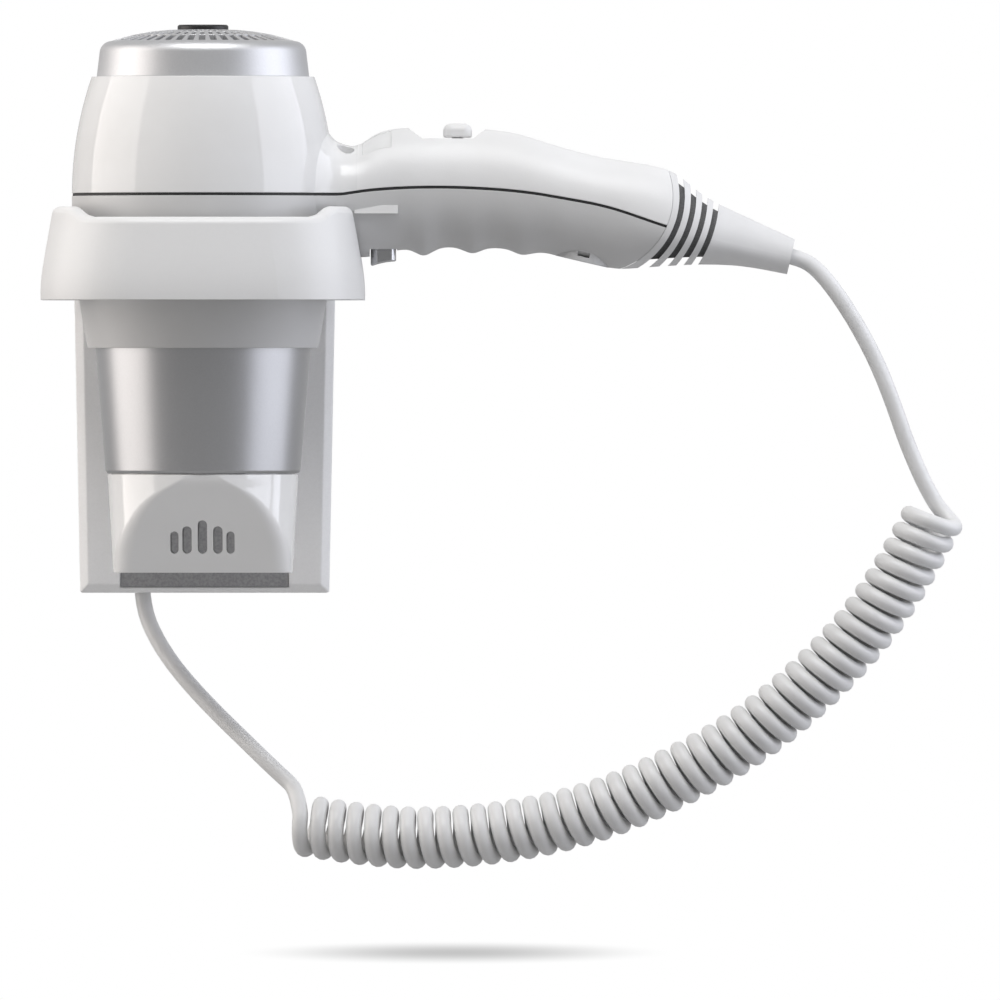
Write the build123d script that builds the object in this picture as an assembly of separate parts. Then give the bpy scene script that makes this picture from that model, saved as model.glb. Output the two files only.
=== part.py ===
from build123d import *
import math
import os

# Wall-mounted hair dryer hanging nozzle-down in its wall holder, with a curly cord between the two.
# Millimetres, +Z up. The wall is the plane Y = 0 and the object stands out from it towards -Y.
# The origin is the centre of the four wall screws, on the back of the wall plate.

# Clearances
RUN_GAP = 0.35  # between pieces that move past each other
SEAT_GAP = 0.1  # between pieces that are pushed or screwed together
SHAFT_FIT = 0.04  # radial play of the shaft in its bushes

# Barrel, a turned shape on an upright axis
BARREL_R = 45.9  # at the parting line
REAR_R = 39.0
FRONT_R = 40.3
PART_Z = 69.1
REAR_Z = 110.3
FRONT_Z = 15.4
SHELL = 2.4
SEAL_T = 1.0
SEAL_SUNK = 0.3
SEAL_PLAY = 0.05

# Wall holder
HOLDER_H = 141.4
HOLDER_TOP_W = 46.6  # half width
HOLDER_BOTTOM_W = 43.8  # half width
HOLDER_DEPTH = 17.0
COVER_WALL = 2.2
COVER_BEVEL = 3.0  # across the face
COVER_BEVEL_D = 2.1  # back along the sides
HOLDER_CORNER = 1.0
PLATE_T = 2.5
WALL_SCREW_X = 30.0
WALL_SCREW_Z = 50.0
WALL_SCREW_R = 2.3
ENTRY_R = 9.0
ENTRY_Z = 42.0
PANEL_W = 29.6  # half width of the dark panel at its foot
PANEL_T = 1.2
PANEL_TOP_Z = 8.0

# Collar of the holder
COLLAR_WALL = 4.4
COLLAR_BACK = 3.5
COLLAR_BACK_GAP = 1.6
COLLAR_ROOM = 1.9  # between the barrel and the collar's top edge
COLLAR_Z = 32.2
COLLAR_H = 32.6
COLLAR_FLARE = ((0.0, 4.3), (6.0, 4.2), (12.0, 3.5), (20.0, 2.15), (COLLAR_H, 0.0))  # height, flare
COLLAR_CORNER = 30.0
COLLAR_BACK_ROUND = 7.0
COLLAR_FRONT = 0.5  # how far the front stands out beyond the sides
COLLAR_BULGE_ANGLE = 8.0
COLLAR_DIP = 3.7
COLLAR_DIP_W = 41.0  # half width to the middle of the ramp
COLLAR_DIP_RAMP = 8.0
COLLAR_ROUND = 3.0
NOTCH_ROOM = 1.6
AXIS_OUT = HOLDER_DEPTH + COLLAR_BACK + COLLAR_BACK_GAP + BARREL_R

# Silver ring and concentrator below the barrel
RING_GAP = 0.3  # round the ring where it passes through the barrel's end
RING_TOP_R = FRONT_R - SHELL - RING_GAP
RING_BOTTOM_R = 34.1
RING_BOTTOM_Z = -28.4
RING_WALL = 1.6
RING_FLANGE_Z = 24.0
RING_FLANGE_T = 4.0
RING_LIP = 1.8
TIP_TOP_R = 33.4
TIP_BOTTOM_R = 31.4
TIP_BOTTOM_Z = -63.2
TIP_WALL = 2.0
TIP_SPIGOT = 8.0
MOUTH_T = 17.0
MOUTH_SLOPE = 36.7  # degrees from upright
TIP_LEVELS = (0.0, 0.1, 0.2, 0.35, 0.55, 0.78, 1.0)  # shares of the height
TIP_FULL = 0.985  # greatest half depth, as a share of the radius
TIP_CORNER = 7.0
TIP_SLOT_FOOT_Z = -56.4
TIP_SLOTS = ((0.0, 3.2, 11.6), (5.4, 3.2, 9.5), (9.8, 2.8, 7.7))  # place from the middle, width, height

# Intake cap
CAP_R = 37.2
CAP_WALL = 1.8
CAP_SHOULDER = 4.0
CAP_TOP_Z = 126.8
CAP_SKIRT = 7.3
CAP_SLOTS = 48
CAP_SLOT_ROWS = ((12.6, 18.0, 0.9), (19.2, 23.8, 1.4), (25.0, 31.8, 2.3))  # start, end, width
DISC_R = 8.9
DISC_T = 1.7

# Fan, motor and duct
DUCT_R = 35.6
DUCT_WALL = 1.6
VANES = 9
FAN_BLADES = 9
FAN_HUB_R = 8.0
FAN_TIP_GAP = 1.2
FAN_H = 12.0
MOTOR_R = 14.0
MOTOR_TOP_Z = 84.0
MOTOR_H = 38.0
MOTOR_CAP_H = 3.5
CUP_WALL = 1.7
SHAFT_R = 1.15
BUSH_R = 3.0

# Heater
SLEEVE_R = 32.0
MICA_T = 0.8
SLEEVE_T = 0.5
HEATER_R = 24.3
HEATER_H = 42.0
HEATER_TURNS = 7
HEATER_WIRE = 1.0
GRILLE_T = 1.8

# Handle and boot: outlines as (distance out from the barrel's widest side, height or half depth)
GRIP_TOP = [(-9.9, 106), (-5.9, 98), (-2.5, 91.7), (0.3, 88.2), (5.6, 86.2), (9.1, 86.7), (12.6, 89.2),
            (18.1, 91.4), (24.1, 92.3), (52.1, 92.0), (58.1, 91.4), (65.1, 90.1), (79.1, 85.8), (93.1, 82.2),
            (107.1, 80.0), (116.8, 77.7), (122.1, 74.6), (128.1, 69.7), (134.1, 66.1), (161.1, 53.5),
            (168.1, 50.2)]
GRIP_BOTTOM = [(-9.9, 47.2), (10.8, 47.2), (13.1, 47.4), (22.0, 49.5), (26.1, 50.2), (40.1, 50.7),
               (56.1, 50.4), (72.1, 49.0), (79.1, 47.4), (93.1, 44.2), (100.1, 43.1), (110.1, 43.7),
               (128.1, 44.6), (142.1, 44.1), (149.1, 43.0), (158.1, 41.3), (168.1, 39.2)]
GRIP_DEPTH = [(-9.9, 26), (-4.9, 22.5), (-0.9, 20), (4.1, 18.6), (12.1, 17.6), (24.1, 16.8), (54.1, 16.4),
              (94.1, 16.2), (114.1, 15.6), (126.1, 14), (136.1, 11.3), (149.1, 8.2), (160.1, 6.3),
              (168.1, 5.4)]
GRIP_PART = [(-9.9, PART_Z), (1.1, PART_Z), (7.1, 69.8), (21.1, 71.2), (34.1, 71.6), (48.1, 71.3),
             (72.1, 69.1), (79.1, 67.9), (96.1, 64.5), (115.1, 58.2), (128.1, 54.4), (144.1, 50.6),
             (161.1, 46.9), (168.1, 45.0)]
FINGER_RIDGES = ((31.5, 2.7), (48.3, 2.1), (66.1, 1.7))  # place and height
FINGER_SPREAD = 4.2
GRIP_END = (91.7, 68.6)  # centre of the arc that ends the handle
GRIP_END_R = 26.8
BOOT_END = (159.9, 47.4)
BOOT_TILT = 13.0
BOOT_SPIGOT = 6.0
GROOVES = 4
GROOVE_R = 29.1  # of the first groove, round the same centre
GROOVE_PITCH = 4.0
GROOVE_W = 1.9
GROOVE_DEPTH = 2.6
GROOVE_WEB = 5.0
BOOT_COLLAR = 1.2  # left of the boot ahead of its core

# Slide switch on the handle
RECESS = (30.8, 48.7)
RECESS_FLOOR = 88.7
RECESS_RAMP = 6.3  # run of each ramp over its rise of RECESS_RISE
RECESS_RISE = 4.8
KNOB_L = 10.1
KNOB_W = 11.0
KNOB_H = 5.2
KNOB_ROUND = 3.2
KNOB_TOP_ROUND = 2.6
KNOB_FOOT_ROUND = 0.8
KNOB_PLACE = 43.2
KNOB_TRAVEL = 7.0
STEM_L = 4.0
STEM_W = 3.0
SWITCH_L = 28.0
SWITCH_W = 12.0
SWITCH_Z = (70.0, 85.6)
SWITCH_EAR = 6.0

# Push button under the handle
BUTTON = (12.8, 21.7)
BUTTON_W = 9.0
BUTTON_ROUND = 2.6
BUTTON_EDGE = 0.6
BUTTON_FLOOR_Z = 50.0
BUTTON_LOW_Z = 43.9
BUTTON_HIGH_Z = 45.7
BUTTON_HOLLOW = 0.4
BUTTON_FLANGE = 0.8
SPRING_R = 3.0
SPRING_WIRE = 0.7
SPRING_TURNS = 5
PUSH_SWITCH = (9.1, 25.1)
PUSH_SWITCH_Z = (66.0, 76.0)
PUSH_SWITCH_W = 10.0

# Other features of the handle
SCREW_PLACE = (4.1, 7.5)  # out from the barrel, and to each side
SCREW_SEAT_Z = 79.0
SCREW_HEAD_R = 2.9
SCREW_SHANK_R = 1.4
BOSS_WALL = 1.6
LEDGE = (7.1, 22.4)
LEDGE_Z = (62.3, 65.2)
LEDGE_T = 1.1
PAD_PLACE = (86.75, 45.6)
PAD_R = 9.5
PAD_TILT = 13.1
PAD_H = 9.0
EYE_L = 4.2
EYE_H = 1.7
LABEL = (10.0, 20.0)
LABEL_Y = (3.5, 12.0)
CLAMP = (81.5, 91.5)
CLAMP_W = 18.0
CLAMP_SCREW_Y = 6.4
CAPACITOR = (52.0, 70.0)
CAPACITOR_W = 14.0
CAPACITOR_Z = (56.0, 65.0)

# Cord
CORD_D = 5.6
CURL_R = 8.2  # to the middle of the cord
CURL_GAP = 0.84  # between turns, along the coil's axis
CURL_START = 60.0  # degrees from the top of the coil, towards the front
CURL_END = 210.0
LEAD_R = 0.9
GLAND = (-21.9, -8.0)
LOWER_ROUTE = [(-21.9, -8.0, -70.7), (-21.3, -8.4, -77.0), (-17.8, -11.5, -85.5), (-12.0, -15.5, -94.8),
               (-4.3, -20.5, -104.0), (4.6, -26.0, -113.2), (13.7, -31.5, -121.9), (22.0, -36.3, -129.9),
               (28.2, -39.6, -135.6)]
CURL_ROUTE = [(34.6, -44.0, -152.0), (60.0, -48.5, -156.2), (86.0, -52.5, -156.4), (113.0, -56.0, -153.3),
              (139.0, -59.5, -146.8), (165.0, -62.5, -135.4), (190.0, -65.5, -121.5), (212.0, -68.0, -103.6),
              (231.5, -70.5, -83.2), (246.0, -72.5, -62.0), (255.9, -74.0, -43.1)]
UPPER_ROUTE = [(205.8, -68.0, 47.4), (209.7, -68.0, 46.5), (214.7, -68.0, 43.3), (221.1, -67.9, 35.8),
               (228.7, -67.7, 24.1), (235.7, -67.3, 10.9), (241.3, -66.8, -3.0), (246.1, -66.6, -17.2),
               (251.6, -66.5, -30.1), (254.0, -66.4, -34.6)]

# Fasteners and fittings in the holder
SMALL_HEAD_R = 2.6
SMALL_HEAD_H = 2.0
SMALL_SHANK_R = 1.3
COVER_SCREW_X = 34.0
COVER_SCREW_SUNK = 1.3
COVER_SCREW_HEAD = 1.2
COLLAR_SCREW_X = 30.0
COLLAR_SCREW_Z = (40.0, 57.0)
TERMINAL = (2.0, 32.0, 14.0, 26.0)  # left, right, foot, top
TERMINAL_D = 10.0
TIE_Z = (-36.0, -30.0)
TAIL_TOP_Z = -24.0
GLAND_RIM = 0.5

AXIS = Pos(0, -AXIS_OUT, 0)


# Plain shapes

def block(x, y, z):
    """Box between the limits given for each direction."""
    size = [high - low for low, high in (x, y, z)]
    middle = [(high + low) / 2 for low, high in (x, y, z)]
    return Pos(*middle) * Box(*size)


def rod(r, z, x=0.0, y=0.0):
    """Upright cylinder between two heights."""
    return Pos(x, y, (z[0] + z[1]) / 2) * Cylinder(r, z[1] - z[0])


def ring(r_out, r_in, z):
    return rod(r_out, z) - rod(r_in, z)


def turned(points):
    """Solid turned round Z from an outline of (radius, height) points."""
    return revolve(Plane.XZ * make_face(Polyline(*points, close=True)), Axis.Z)


def prism_y(outline, half_depth):
    """Outline of (x, z) points or edges drawn in front of the barrel's axis, extended both ways along Y."""
    edges = Polyline(*outline, close=True) if isinstance(outline, list) else outline
    return extrude(AXIS * (Plane.XZ * make_face(edges)), half_depth, both=True)


def screw(head_r, head_h, shank_r, length):
    """Screw with its head above Z = 0, its shank below and a cross slot in the head."""
    head = rod(head_r, (0, head_h))
    slot_l, slot_w, slot_d = 1.3 * head_r, 0.25 * head_r, 0.4 * head_h
    slot = Pos(0, 0, head_h - slot_d / 2) * (Box(slot_l, slot_w, slot_d) + Box(slot_w, slot_l, slot_d))
    return head + rod(shank_r, (-length, 0)) - slot


def unit(v):
    return v * (1.0 / v.length)


# Outlines of the barrel, handle and boot

def smooth(points, place):
    """Height of the curve through the points, with each point's slope taken from its two neighbours."""
    last = len(points) - 1
    if place <= points[0][0]:
        return points[0][1]
    if place >= points[last][0]:
        return points[last][1]
    i = max(k for k in range(last) if points[k][0] <= place)

    def slope(k):
        before, after = points[max(k - 1, 0)], points[min(k + 1, last)]
        return (after[1] - before[1]) / (after[0] - before[0])

    step = points[i + 1][0] - points[i][0]
    u = (place - points[i][0]) / step
    ends = (1 + 2 * u) * (1 - u)**2 * points[i][1] + u**2 * (3 - 2 * u) * points[i + 1][1]
    return ends + step * (u * (1 - u)**2 * slope(i) - u**2 * (1 - u) * slope(i + 1))


def grip_bottom(place):
    ridges = [h * math.exp(-((place - s) / FINGER_SPREAD)**2) for s, h in FINGER_RIDGES]
    return smooth(GRIP_BOTTOM, place) - sum(ridges)


def barrel_radius(z):
    """The barrel's side is one arc above the parting line and one below it, both upright at the line."""
    end_r, end_z = (REAR_R, REAR_Z) if z > PART_Z else (FRONT_R, FRONT_Z)
    drop, height = BARREL_R - end_r, abs(end_z - PART_Z)
    arc_r = (drop**2 + height**2) / (2 * drop)
    return BARREL_R - arc_r + math.sqrt(arc_r**2 - (z - PART_Z)**2)


def barrel(inset, overrun=0.0):
    """The barrel's solid, drawn in by the inset, with its ends carried past the real ones."""
    side, rear, front = BARREL_R - inset, REAR_R - inset, FRONT_R - inset
    low, high = FRONT_Z - overrun, REAR_Z + overrun
    outline = Curve() + TangentArc((side, PART_Z), (rear, REAR_Z), tangent=(0, 1))
    outline += TangentArc((side, PART_Z), (front, FRONT_Z), tangent=(0, -1))
    outline += Polyline((rear, REAR_Z), (rear, high + 1), (0, high + 1))
    outline += Polyline((front, FRONT_Z), (front, low - 1), (0, low - 1), (0, high + 1))
    solid = revolve(Plane.XZ * make_face(outline), Axis.Z)
    return solid & rod(2 * BARREL_R, (low, high))


def grip_section(place, inset):
    """Upright section across the handle: two half ellipses that meet at the parting line."""
    middle = smooth(GRIP_PART, place)
    half = smooth(GRIP_DEPTH, place) - inset
    up = smooth(GRIP_TOP, place) - middle - inset
    down = middle - grip_bottom(place) - inset
    outline = Curve()
    for start, height in ((0, up), (90, up), (180, down), (270, down)):
        outline += EllipticalCenterArc((0, 0), half, height, start_angle=start, arc_size=90)
    plane = Plane(origin=(BARREL_R + place, -AXIS_OUT, middle), x_dir=(0, 1, 0), z_dir=(1, 0, 0))
    return plane * make_face(outline)


def grip(inset):
    """Handle and boot in one smooth solid, drawn in by the inset."""
    root = [-9.9, -7.4, -4.9, -2.4, 0.1, 3.1, 6.6, 10.1]
    fingers = [14.1 + 4.3 * k for k in range(16)]
    boot = [85.1 + 6.9 * k for k in range(13)]
    return loft([grip_section(place, inset) for place in root + fingers + boot])


def out_from_barrel(limits):
    return (BARREL_R + limits[0], BARREL_R + limits[1])


def across(half_width):
    """Limits to both sides of the barrel's axis, towards and away from the wall."""
    return (-AXIS_OUT - half_width, -AXIS_OUT + half_width)


def drum(radius):
    """Cylinder across the handle, round the centre of the arc that ends it."""
    place = Pos(BARREL_R + GRIP_END[0], -AXIS_OUT, GRIP_END[1])
    return place * Rot(90, 0, 0) * Cylinder(radius, 2 * BARREL_R)


def before_arc(radius):
    """Everything on the barrel's side of that arc."""
    far, tall = 2 * BARREL_R, 2 * REAR_Z
    return drum(radius) + block((-far, BARREL_R + GRIP_END[0]), across(far), (-tall, tall))


def parting_side(shift, above):
    """All that lies above or below the parting surface, moved up by the shift."""
    knots = [(BARREL_R + s, z + shift) for s, z in GRIP_PART if 0 < s < 130]
    start, end = (-2 * BARREL_R, PART_Z + shift), knots[-1]
    limit = 2 * REAR_Z if above else -REAR_Z
    outline = Curve() + Line(start, knots[0]) + Spline(*knots, tangents=[(1, 0), (1, -0.28)])
    outline += Polyline(end, (end[0], limit), (start[0], limit), start)
    return prism_y(outline, 2 * BARREL_R)


GRIP_OUT = grip(0.0)
GRIP_IN = grip(SHELL)
GRIP_SEAL = grip(SEAL_SUNK)
KEEP_GRIP = before_arc(GRIP_END_R)
CAVITY = AXIS * barrel(SHELL, 5.0) + GRIP_IN
UPPER = parting_side(SEAL_T / 2, True)
LOWER = parting_side(-SEAL_T / 2, False)


# Dryer housing

def handle_pad():
    """Round pad under the end of the handle, with its flat foot along the handle's lower edge."""
    middle = Pos(BARREL_R + PAD_PLACE[0], -AXIS_OUT, PAD_PLACE[1]) * Rot(0, PAD_TILT, 0)
    eye = middle * Pos(0, -PAD_R, 1.5 * EYE_H) * Box(EYE_L, PAD_R, EYE_H)
    return middle * Pos(0, 0, PAD_H / 2) * Cylinder(PAD_R, PAD_H) - eye


def ledges():
    """Wedge along each side of the handle, thickest at its foot."""
    x = out_from_barrel(LEDGE)
    half = smooth(GRIP_DEPTH, (LEDGE[0] + LEDGE[1]) / 2)
    outline = [(0, LEDGE_Z[0]), (half - 0.6 + LEDGE_T, LEDGE_Z[0]), (half - 0.6, LEDGE_Z[1]), (0, LEDGE_Z[1])]
    mirrored = [(-y, z) for y, z in outline]
    solid = Part()
    for side in (outline, mirrored):
        face = Plane.YZ * make_face(Polyline(*side, close=True))
        solid += Pos(x[0], -AXIS_OUT, 0) * extrude(face, x[1] - x[0])
    return solid


def recess(drop):
    """Saddle across the handle for the slide switch, moved down by the drop."""
    left, right = out_from_barrel(RECESS)
    floor, top = RECESS_FLOOR - drop, RECESS_FLOOR + RECESS_RISE - drop
    outline = [(left - RECESS_RAMP, top), (left, floor), (right, floor), (right + RECESS_RAMP, top)]
    return prism_y(outline, BARREL_R)


def screw_posts(r, z):
    """Pair of upright rods on the housing screws."""
    place, side = SCREW_PLACE
    return [rod(r, z, BARREL_R + place, -AXIS_OUT + k * side) for k in (-1, 1)]


def ear_places():
    """Middles of the slide switch's two mounting ears."""
    middle, reach = sum(RECESS) / 2, SWITCH_L / 2 + SWITCH_EAR / 2
    return [BARREL_R + middle + k * reach for k in (-1, 1)]


def rear_housing():
    shell = (AXIS * barrel(0.0) + (GRIP_OUT & KEEP_GRIP)) - CAVITY
    solid = shell & UPPER
    solid += (recess(SHELL) & GRIP_OUT) - recess(0.0)
    boss_r = SCREW_HEAD_R + SEAT_GAP + BOSS_WALL
    part_top = PART_Z + SEAL_T
    for boss in screw_posts(boss_r, (part_top + 1.0, REAR_Z)):
        solid += boss & GRIP_OUT
    for x in ear_places():
        solid += rod(SWITCH_EAR / 2, (SWITCH_Z[1], SWITCH_Z[1] + 2 * SHELL), x, -AXIS_OUT) & GRIP_OUT
    solid -= recess(0.0)
    for hole in screw_posts(SCREW_HEAD_R + SEAT_GAP, (SCREW_SEAT_Z, REAR_Z)):
        solid -= hole
    for hole in screw_posts(SCREW_SHANK_R + SEAT_GAP, (PART_Z, REAR_Z)):
        solid -= hole
    for x in ear_places():
        solid -= rod(SMALL_SHANK_R + SEAT_GAP, (SWITCH_Z[1] - 1, SWITCH_Z[1] + 3.5), x, -AXIS_OUT)
    reach = STEM_L / 2 + RUN_GAP
    slot = out_from_barrel((KNOB_PLACE - KNOB_TRAVEL - reach, KNOB_PLACE + reach))
    solid -= block(slot, across(STEM_W / 2 + RUN_GAP), (SWITCH_Z[1] - 1, RECESS_FLOOR + 1))
    label = block(out_from_barrel(LABEL), (-AXIS_OUT - LABEL_Y[1], -AXIS_OUT - LABEL_Y[0]), (PART_Z, REAR_Z))
    return solid - (label - GRIP_SEAL)


def front_housing():
    grip_part = (GRIP_OUT + handle_pad()) & KEEP_GRIP
    shell = (AXIS * barrel(0.0) + grip_part) - CAVITY
    solid = shell & LOWER
    solid += ledges() - CAVITY
    boss_r = SCREW_HEAD_R + SEAT_GAP + BOSS_WALL
    for boss in screw_posts(boss_r, (0.0, PART_Z - SEAL_T)):
        solid += boss & GRIP_OUT
    button = out_from_barrel(BUTTON)
    room = (button[0] - RUN_GAP, button[1] + RUN_GAP)
    wide = (button[0] - SHELL, button[1] + SHELL)
    floor_z = (BUTTON_FLOOR_Z, BUTTON_FLOOR_Z + 2.0)
    solid -= block(room, across(BARREL_R), (0.0, BUTTON_FLOOR_Z))
    solid += block(wide, across(BARREL_R), floor_z) & GRIP_OUT
    solid -= button_bar(RUN_GAP, (0.0, floor_z[1] + 1))
    grow = 1.5 * BUTTON_FLANGE
    flange_room = across(BUTTON_W / 2 + BUTTON_FLANGE + RUN_GAP)
    solid -= block((room[0] - grow, room[1] + grow), flange_room, (floor_z[1], PUSH_SWITCH_Z[0] - 2.0))
    shelf_z = (PUSH_SWITCH_Z[0] - 2.0, PUSH_SWITCH_Z[0])
    shelf = block(out_from_barrel(PUSH_SWITCH), across(BARREL_R), shelf_z) & GRIP_OUT
    solid += shelf - block((0, 3 * BARREL_R), across(SPRING_R + SPRING_WIRE + 0.6), shelf_z)
    rib_w = CAPACITOR_W / 2
    for place in (CAPACITOR[0] + 3, CAPACITOR[1] - 5):
        rib = block(out_from_barrel((place, place + 2)), across(rib_w), (0, CAPACITOR_Z[0]))
        solid += rib & GRIP_OUT
    anvil = block(out_from_barrel(CLAMP), across(CLAMP_W / 2), (0, clamp_height())) & GRIP_OUT
    solid += anvil - cord_line(CORD_D / 2 + SEAT_GAP)
    for hole in screw_posts(SCREW_SHANK_R + SHAFT_FIT, (PART_Z - 12.0, PART_Z)):
        solid -= hole
    for x, y in clamp_screw_places():
        solid -= rod(SMALL_SHANK_R + SHAFT_FIT, (clamp_height() - 6.0, clamp_height()), x, y)
    return solid


def housing_seal():
    body = AXIS * barrel(SEAL_SUNK) + (GRIP_SEAL & KEEP_GRIP)
    play = SEAL_T / 2 - SEAL_PLAY
    return body - CAVITY - parting_side(play, True) - parting_side(-play, False)


def housing_screws():
    shape = screw(SCREW_HEAD_R, 2.0, SCREW_SHANK_R, SCREW_SEAT_Z - PART_Z + 11.0)
    place, side = SCREW_PLACE
    return [Pos(BARREL_R + place, -AXIS_OUT + k * side, SCREW_SEAT_Z) * shape for k in (-1, 1)]


# Cord inside the handle, its clamp and the boot

def cord_line(radius, length=85.0):
    """Cylinder along the boot's axis, from the boot's end face back into the handle."""
    end = Pos(BARREL_R + BOOT_END[0], -AXIS_OUT, BOOT_END[1]) * Rot(0, 90 + BOOT_TILT, 0)
    return end * Pos(0, 0, -length / 2) * Cylinder(radius, length)


def clamp_height():
    """Height of the cord's middle at the middle of the clamp."""
    run = BOOT_END[0] - sum(CLAMP) / 2
    return BOOT_END[1] + run * math.tan(math.radians(BOOT_TILT))


def clamp_screw_places():
    x = BARREL_R + sum(CLAMP) / 2
    return [(x, -AXIS_OUT + k * CLAMP_SCREW_Y) for k in (-1, 1)]


def cord_clamp():
    z = (clamp_height() + SEAT_GAP, clamp_height() + CORD_D / 2 + 3.0)
    solid = block(out_from_barrel(CLAMP), across(CLAMP_W / 2), z) - cord_line(CORD_D / 2 + SEAT_GAP)
    for x, y in clamp_screw_places():
        solid -= rod(SMALL_SHANK_R + SEAT_GAP, z, x, y)
    return solid


def cord_clamp_screws():
    top = clamp_height() + CORD_D / 2 + 3.0
    shape = screw(SMALL_HEAD_R, SMALL_HEAD_H, SMALL_SHANK_R, top - clamp_height() + 5.0)
    return [Pos(x, y, top) * shape for x, y in clamp_screw_places()]


def dryer_cord_tail():
    return cord_line(CORD_D / 2, (BOOT_END[0] - CLAMP[0] + 5.0) / math.cos(math.radians(BOOT_TILT)))


def before_boot_end():
    """Everything on the handle's side of the boot's end face."""
    end = Pos(BARREL_R + BOOT_END[0], -AXIS_OUT, BOOT_END[1]) * Rot(0, 90 + BOOT_TILT, 0)
    size = 4 * BARREL_R
    return end * Pos(0, 0, -size / 2) * Box(size, size, size)


def boot_core_body(gap):
    """Room of the boot's core, drawn in by the gap."""
    body = grip(GROOVE_DEPTH + gap) - before_arc(GRIP_END_R + BOOT_COLLAR + gap)
    return body & before_arc(GROOVE_R + GROOVES * GROOVE_PITCH - gap)


def cord_boot():
    start = GRIP_END_R + SEAT_GAP
    outside = (GRIP_OUT - before_arc(start)) & before_boot_end()
    spigot = (grip(SHELL + SEAT_GAP) - before_arc(GRIP_END_R - BOOT_SPIGOT)) & before_arc(start)
    solid = outside + spigot - boot_core_body(0.0) - cord_line(CORD_D / 2 + SEAT_GAP)
    web_z = (BOOT_END[1] + 2.0, BOOT_END[1] + 2.0 + GROOVE_WEB)
    keep = block((0, 6 * BARREL_R), (-AXIS_OUT, 0), web_z)
    keep += block((0, BARREL_R + GRIP_END[0]), across(BARREL_R), (0, REAR_Z))
    for k in range(GROOVES):
        inner = GROOVE_R + k * GROOVE_PITCH
        solid -= drum(inner + GROOVE_W) - drum(inner) - keep
    return solid


def boot_core():
    """Dark sleeve inside the boot, seen at the foot of the grooves."""
    return boot_core_body(SEAT_GAP) - cord_line(CORD_D / 2 + SEAT_GAP)


# Switches in the handle

def switch_knob():
    x = out_from_barrel((KNOB_PLACE - KNOB_L / 2, KNOB_PLACE + KNOB_L / 2))
    z = (RECESS_FLOOR + RUN_GAP, RECESS_FLOOR + KNOB_H)
    cap = block(x, across(KNOB_W / 2), z)
    cap = fillet(cap.edges().filter_by(Axis.Z), KNOB_ROUND)
    cap = fillet(cap.faces().sort_by(Axis.Z)[-1].edges(), KNOB_TOP_ROUND)
    cap = fillet(cap.faces().sort_by(Axis.Z)[0].edges(), KNOB_FOOT_ROUND)
    stem_x = out_from_barrel((KNOB_PLACE - STEM_L / 2, KNOB_PLACE + STEM_L / 2))
    return cap + block(stem_x, across(STEM_W / 2), (SWITCH_Z[1] - 2.5, z[0] + 1))


def slide_switch():
    middle = sum(RECESS) / 2
    x = out_from_barrel((middle - SWITCH_L / 2, middle + SWITCH_L / 2))
    solid = block(x, across(SWITCH_W / 2), SWITCH_Z)
    for ear in ear_places():
        limits = (ear - SWITCH_EAR / 2 - 0.5, ear + SWITCH_EAR / 2 + 0.5)
        solid += block(limits, across(SWITCH_EAR / 2), (SWITCH_Z[1] - 2.0, SWITCH_Z[1]))
        solid -= rod(SMALL_SHANK_R + SEAT_GAP, SWITCH_Z, ear, -AXIS_OUT)
    reach = STEM_L / 2 + RUN_GAP
    slot = out_from_barrel((KNOB_PLACE - KNOB_TRAVEL - reach, KNOB_PLACE + reach))
    return solid - block(slot, across(STEM_W / 2 + RUN_GAP), (SWITCH_Z[1] - 2.5 - RUN_GAP, SWITCH_Z[1]))


def switch_screws():
    shape = Rot(180, 0, 0) * screw(SMALL_HEAD_R - 0.4, SMALL_HEAD_H, SMALL_SHANK_R, 5.0)
    return [Pos(x, -AXIS_OUT, SWITCH_Z[1] - 2.0) * shape for x in ear_places()]


def button_bar(grow, z):
    """Upright bar with the push button's outline, grown all round."""
    left, right = out_from_barrel(BUTTON)
    bar = block((left - grow, right + grow), across(BUTTON_W / 2 + grow), z)
    return fillet(bar.edges().filter_by(Axis.Z), BUTTON_ROUND + grow)


def push_button():
    left, right = out_from_barrel(BUTTON)
    low, high = (left, BUTTON_LOW_Z), (right, BUTTON_HIGH_Z)
    hollow = ((left + right) / 2, (BUTTON_LOW_Z + BUTTON_HIGH_Z) / 2 + BUTTON_HOLLOW)
    top = BUTTON_FLOOR_Z + 2.0 + RUN_GAP
    outline = Curve() + ThreePointArc(low, hollow, high) + Polyline(high, (right, top), (left, top), low)
    solid = prism_y(outline, BUTTON_W) & button_bar(0.0, (0.0, top))
    face_edges = [edge for edge in solid.edges() if edge.bounding_box().max.Z < BUTTON_HIGH_Z + BUTTON_EDGE]
    solid = fillet(face_edges, BUTTON_EDGE)
    grow = 1.5 * BUTTON_FLANGE
    flange = block((left - grow, right + grow), across(BUTTON_W / 2 + BUTTON_FLANGE), (top, top + 2.0))
    post = rod(SPRING_R - SPRING_WIRE - 0.4, (top + 2.0, top + 6.0), (left + right) / 2, -AXIS_OUT)
    return solid + flange + post


def push_switch():
    return block(out_from_barrel(PUSH_SWITCH), across(PUSH_SWITCH_W / 2), PUSH_SWITCH_Z)


# Curves for wound pieces

def biarc(start, start_dir, end, end_dir):
    """Two arcs that leave one point and reach another in the given directions."""
    reach = end - start
    both = start_dir + end_dir
    bend = 2 * (1 - start_dir.dot(end_dir))
    along = reach.dot(both)
    if bend < 1e-6:
        arm = reach.dot(reach) / (2 * along)
    else:
        arm = (math.sqrt(along**2 + bend * reach.dot(reach)) - along) / bend
    first, second = start + start_dir * arm, end - end_dir * arm
    joint = (first + second) * 0.5
    return [Edge.make_tangent_arc(start, start_dir, joint), Edge.make_tangent_arc(joint, second - first, end)]


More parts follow.
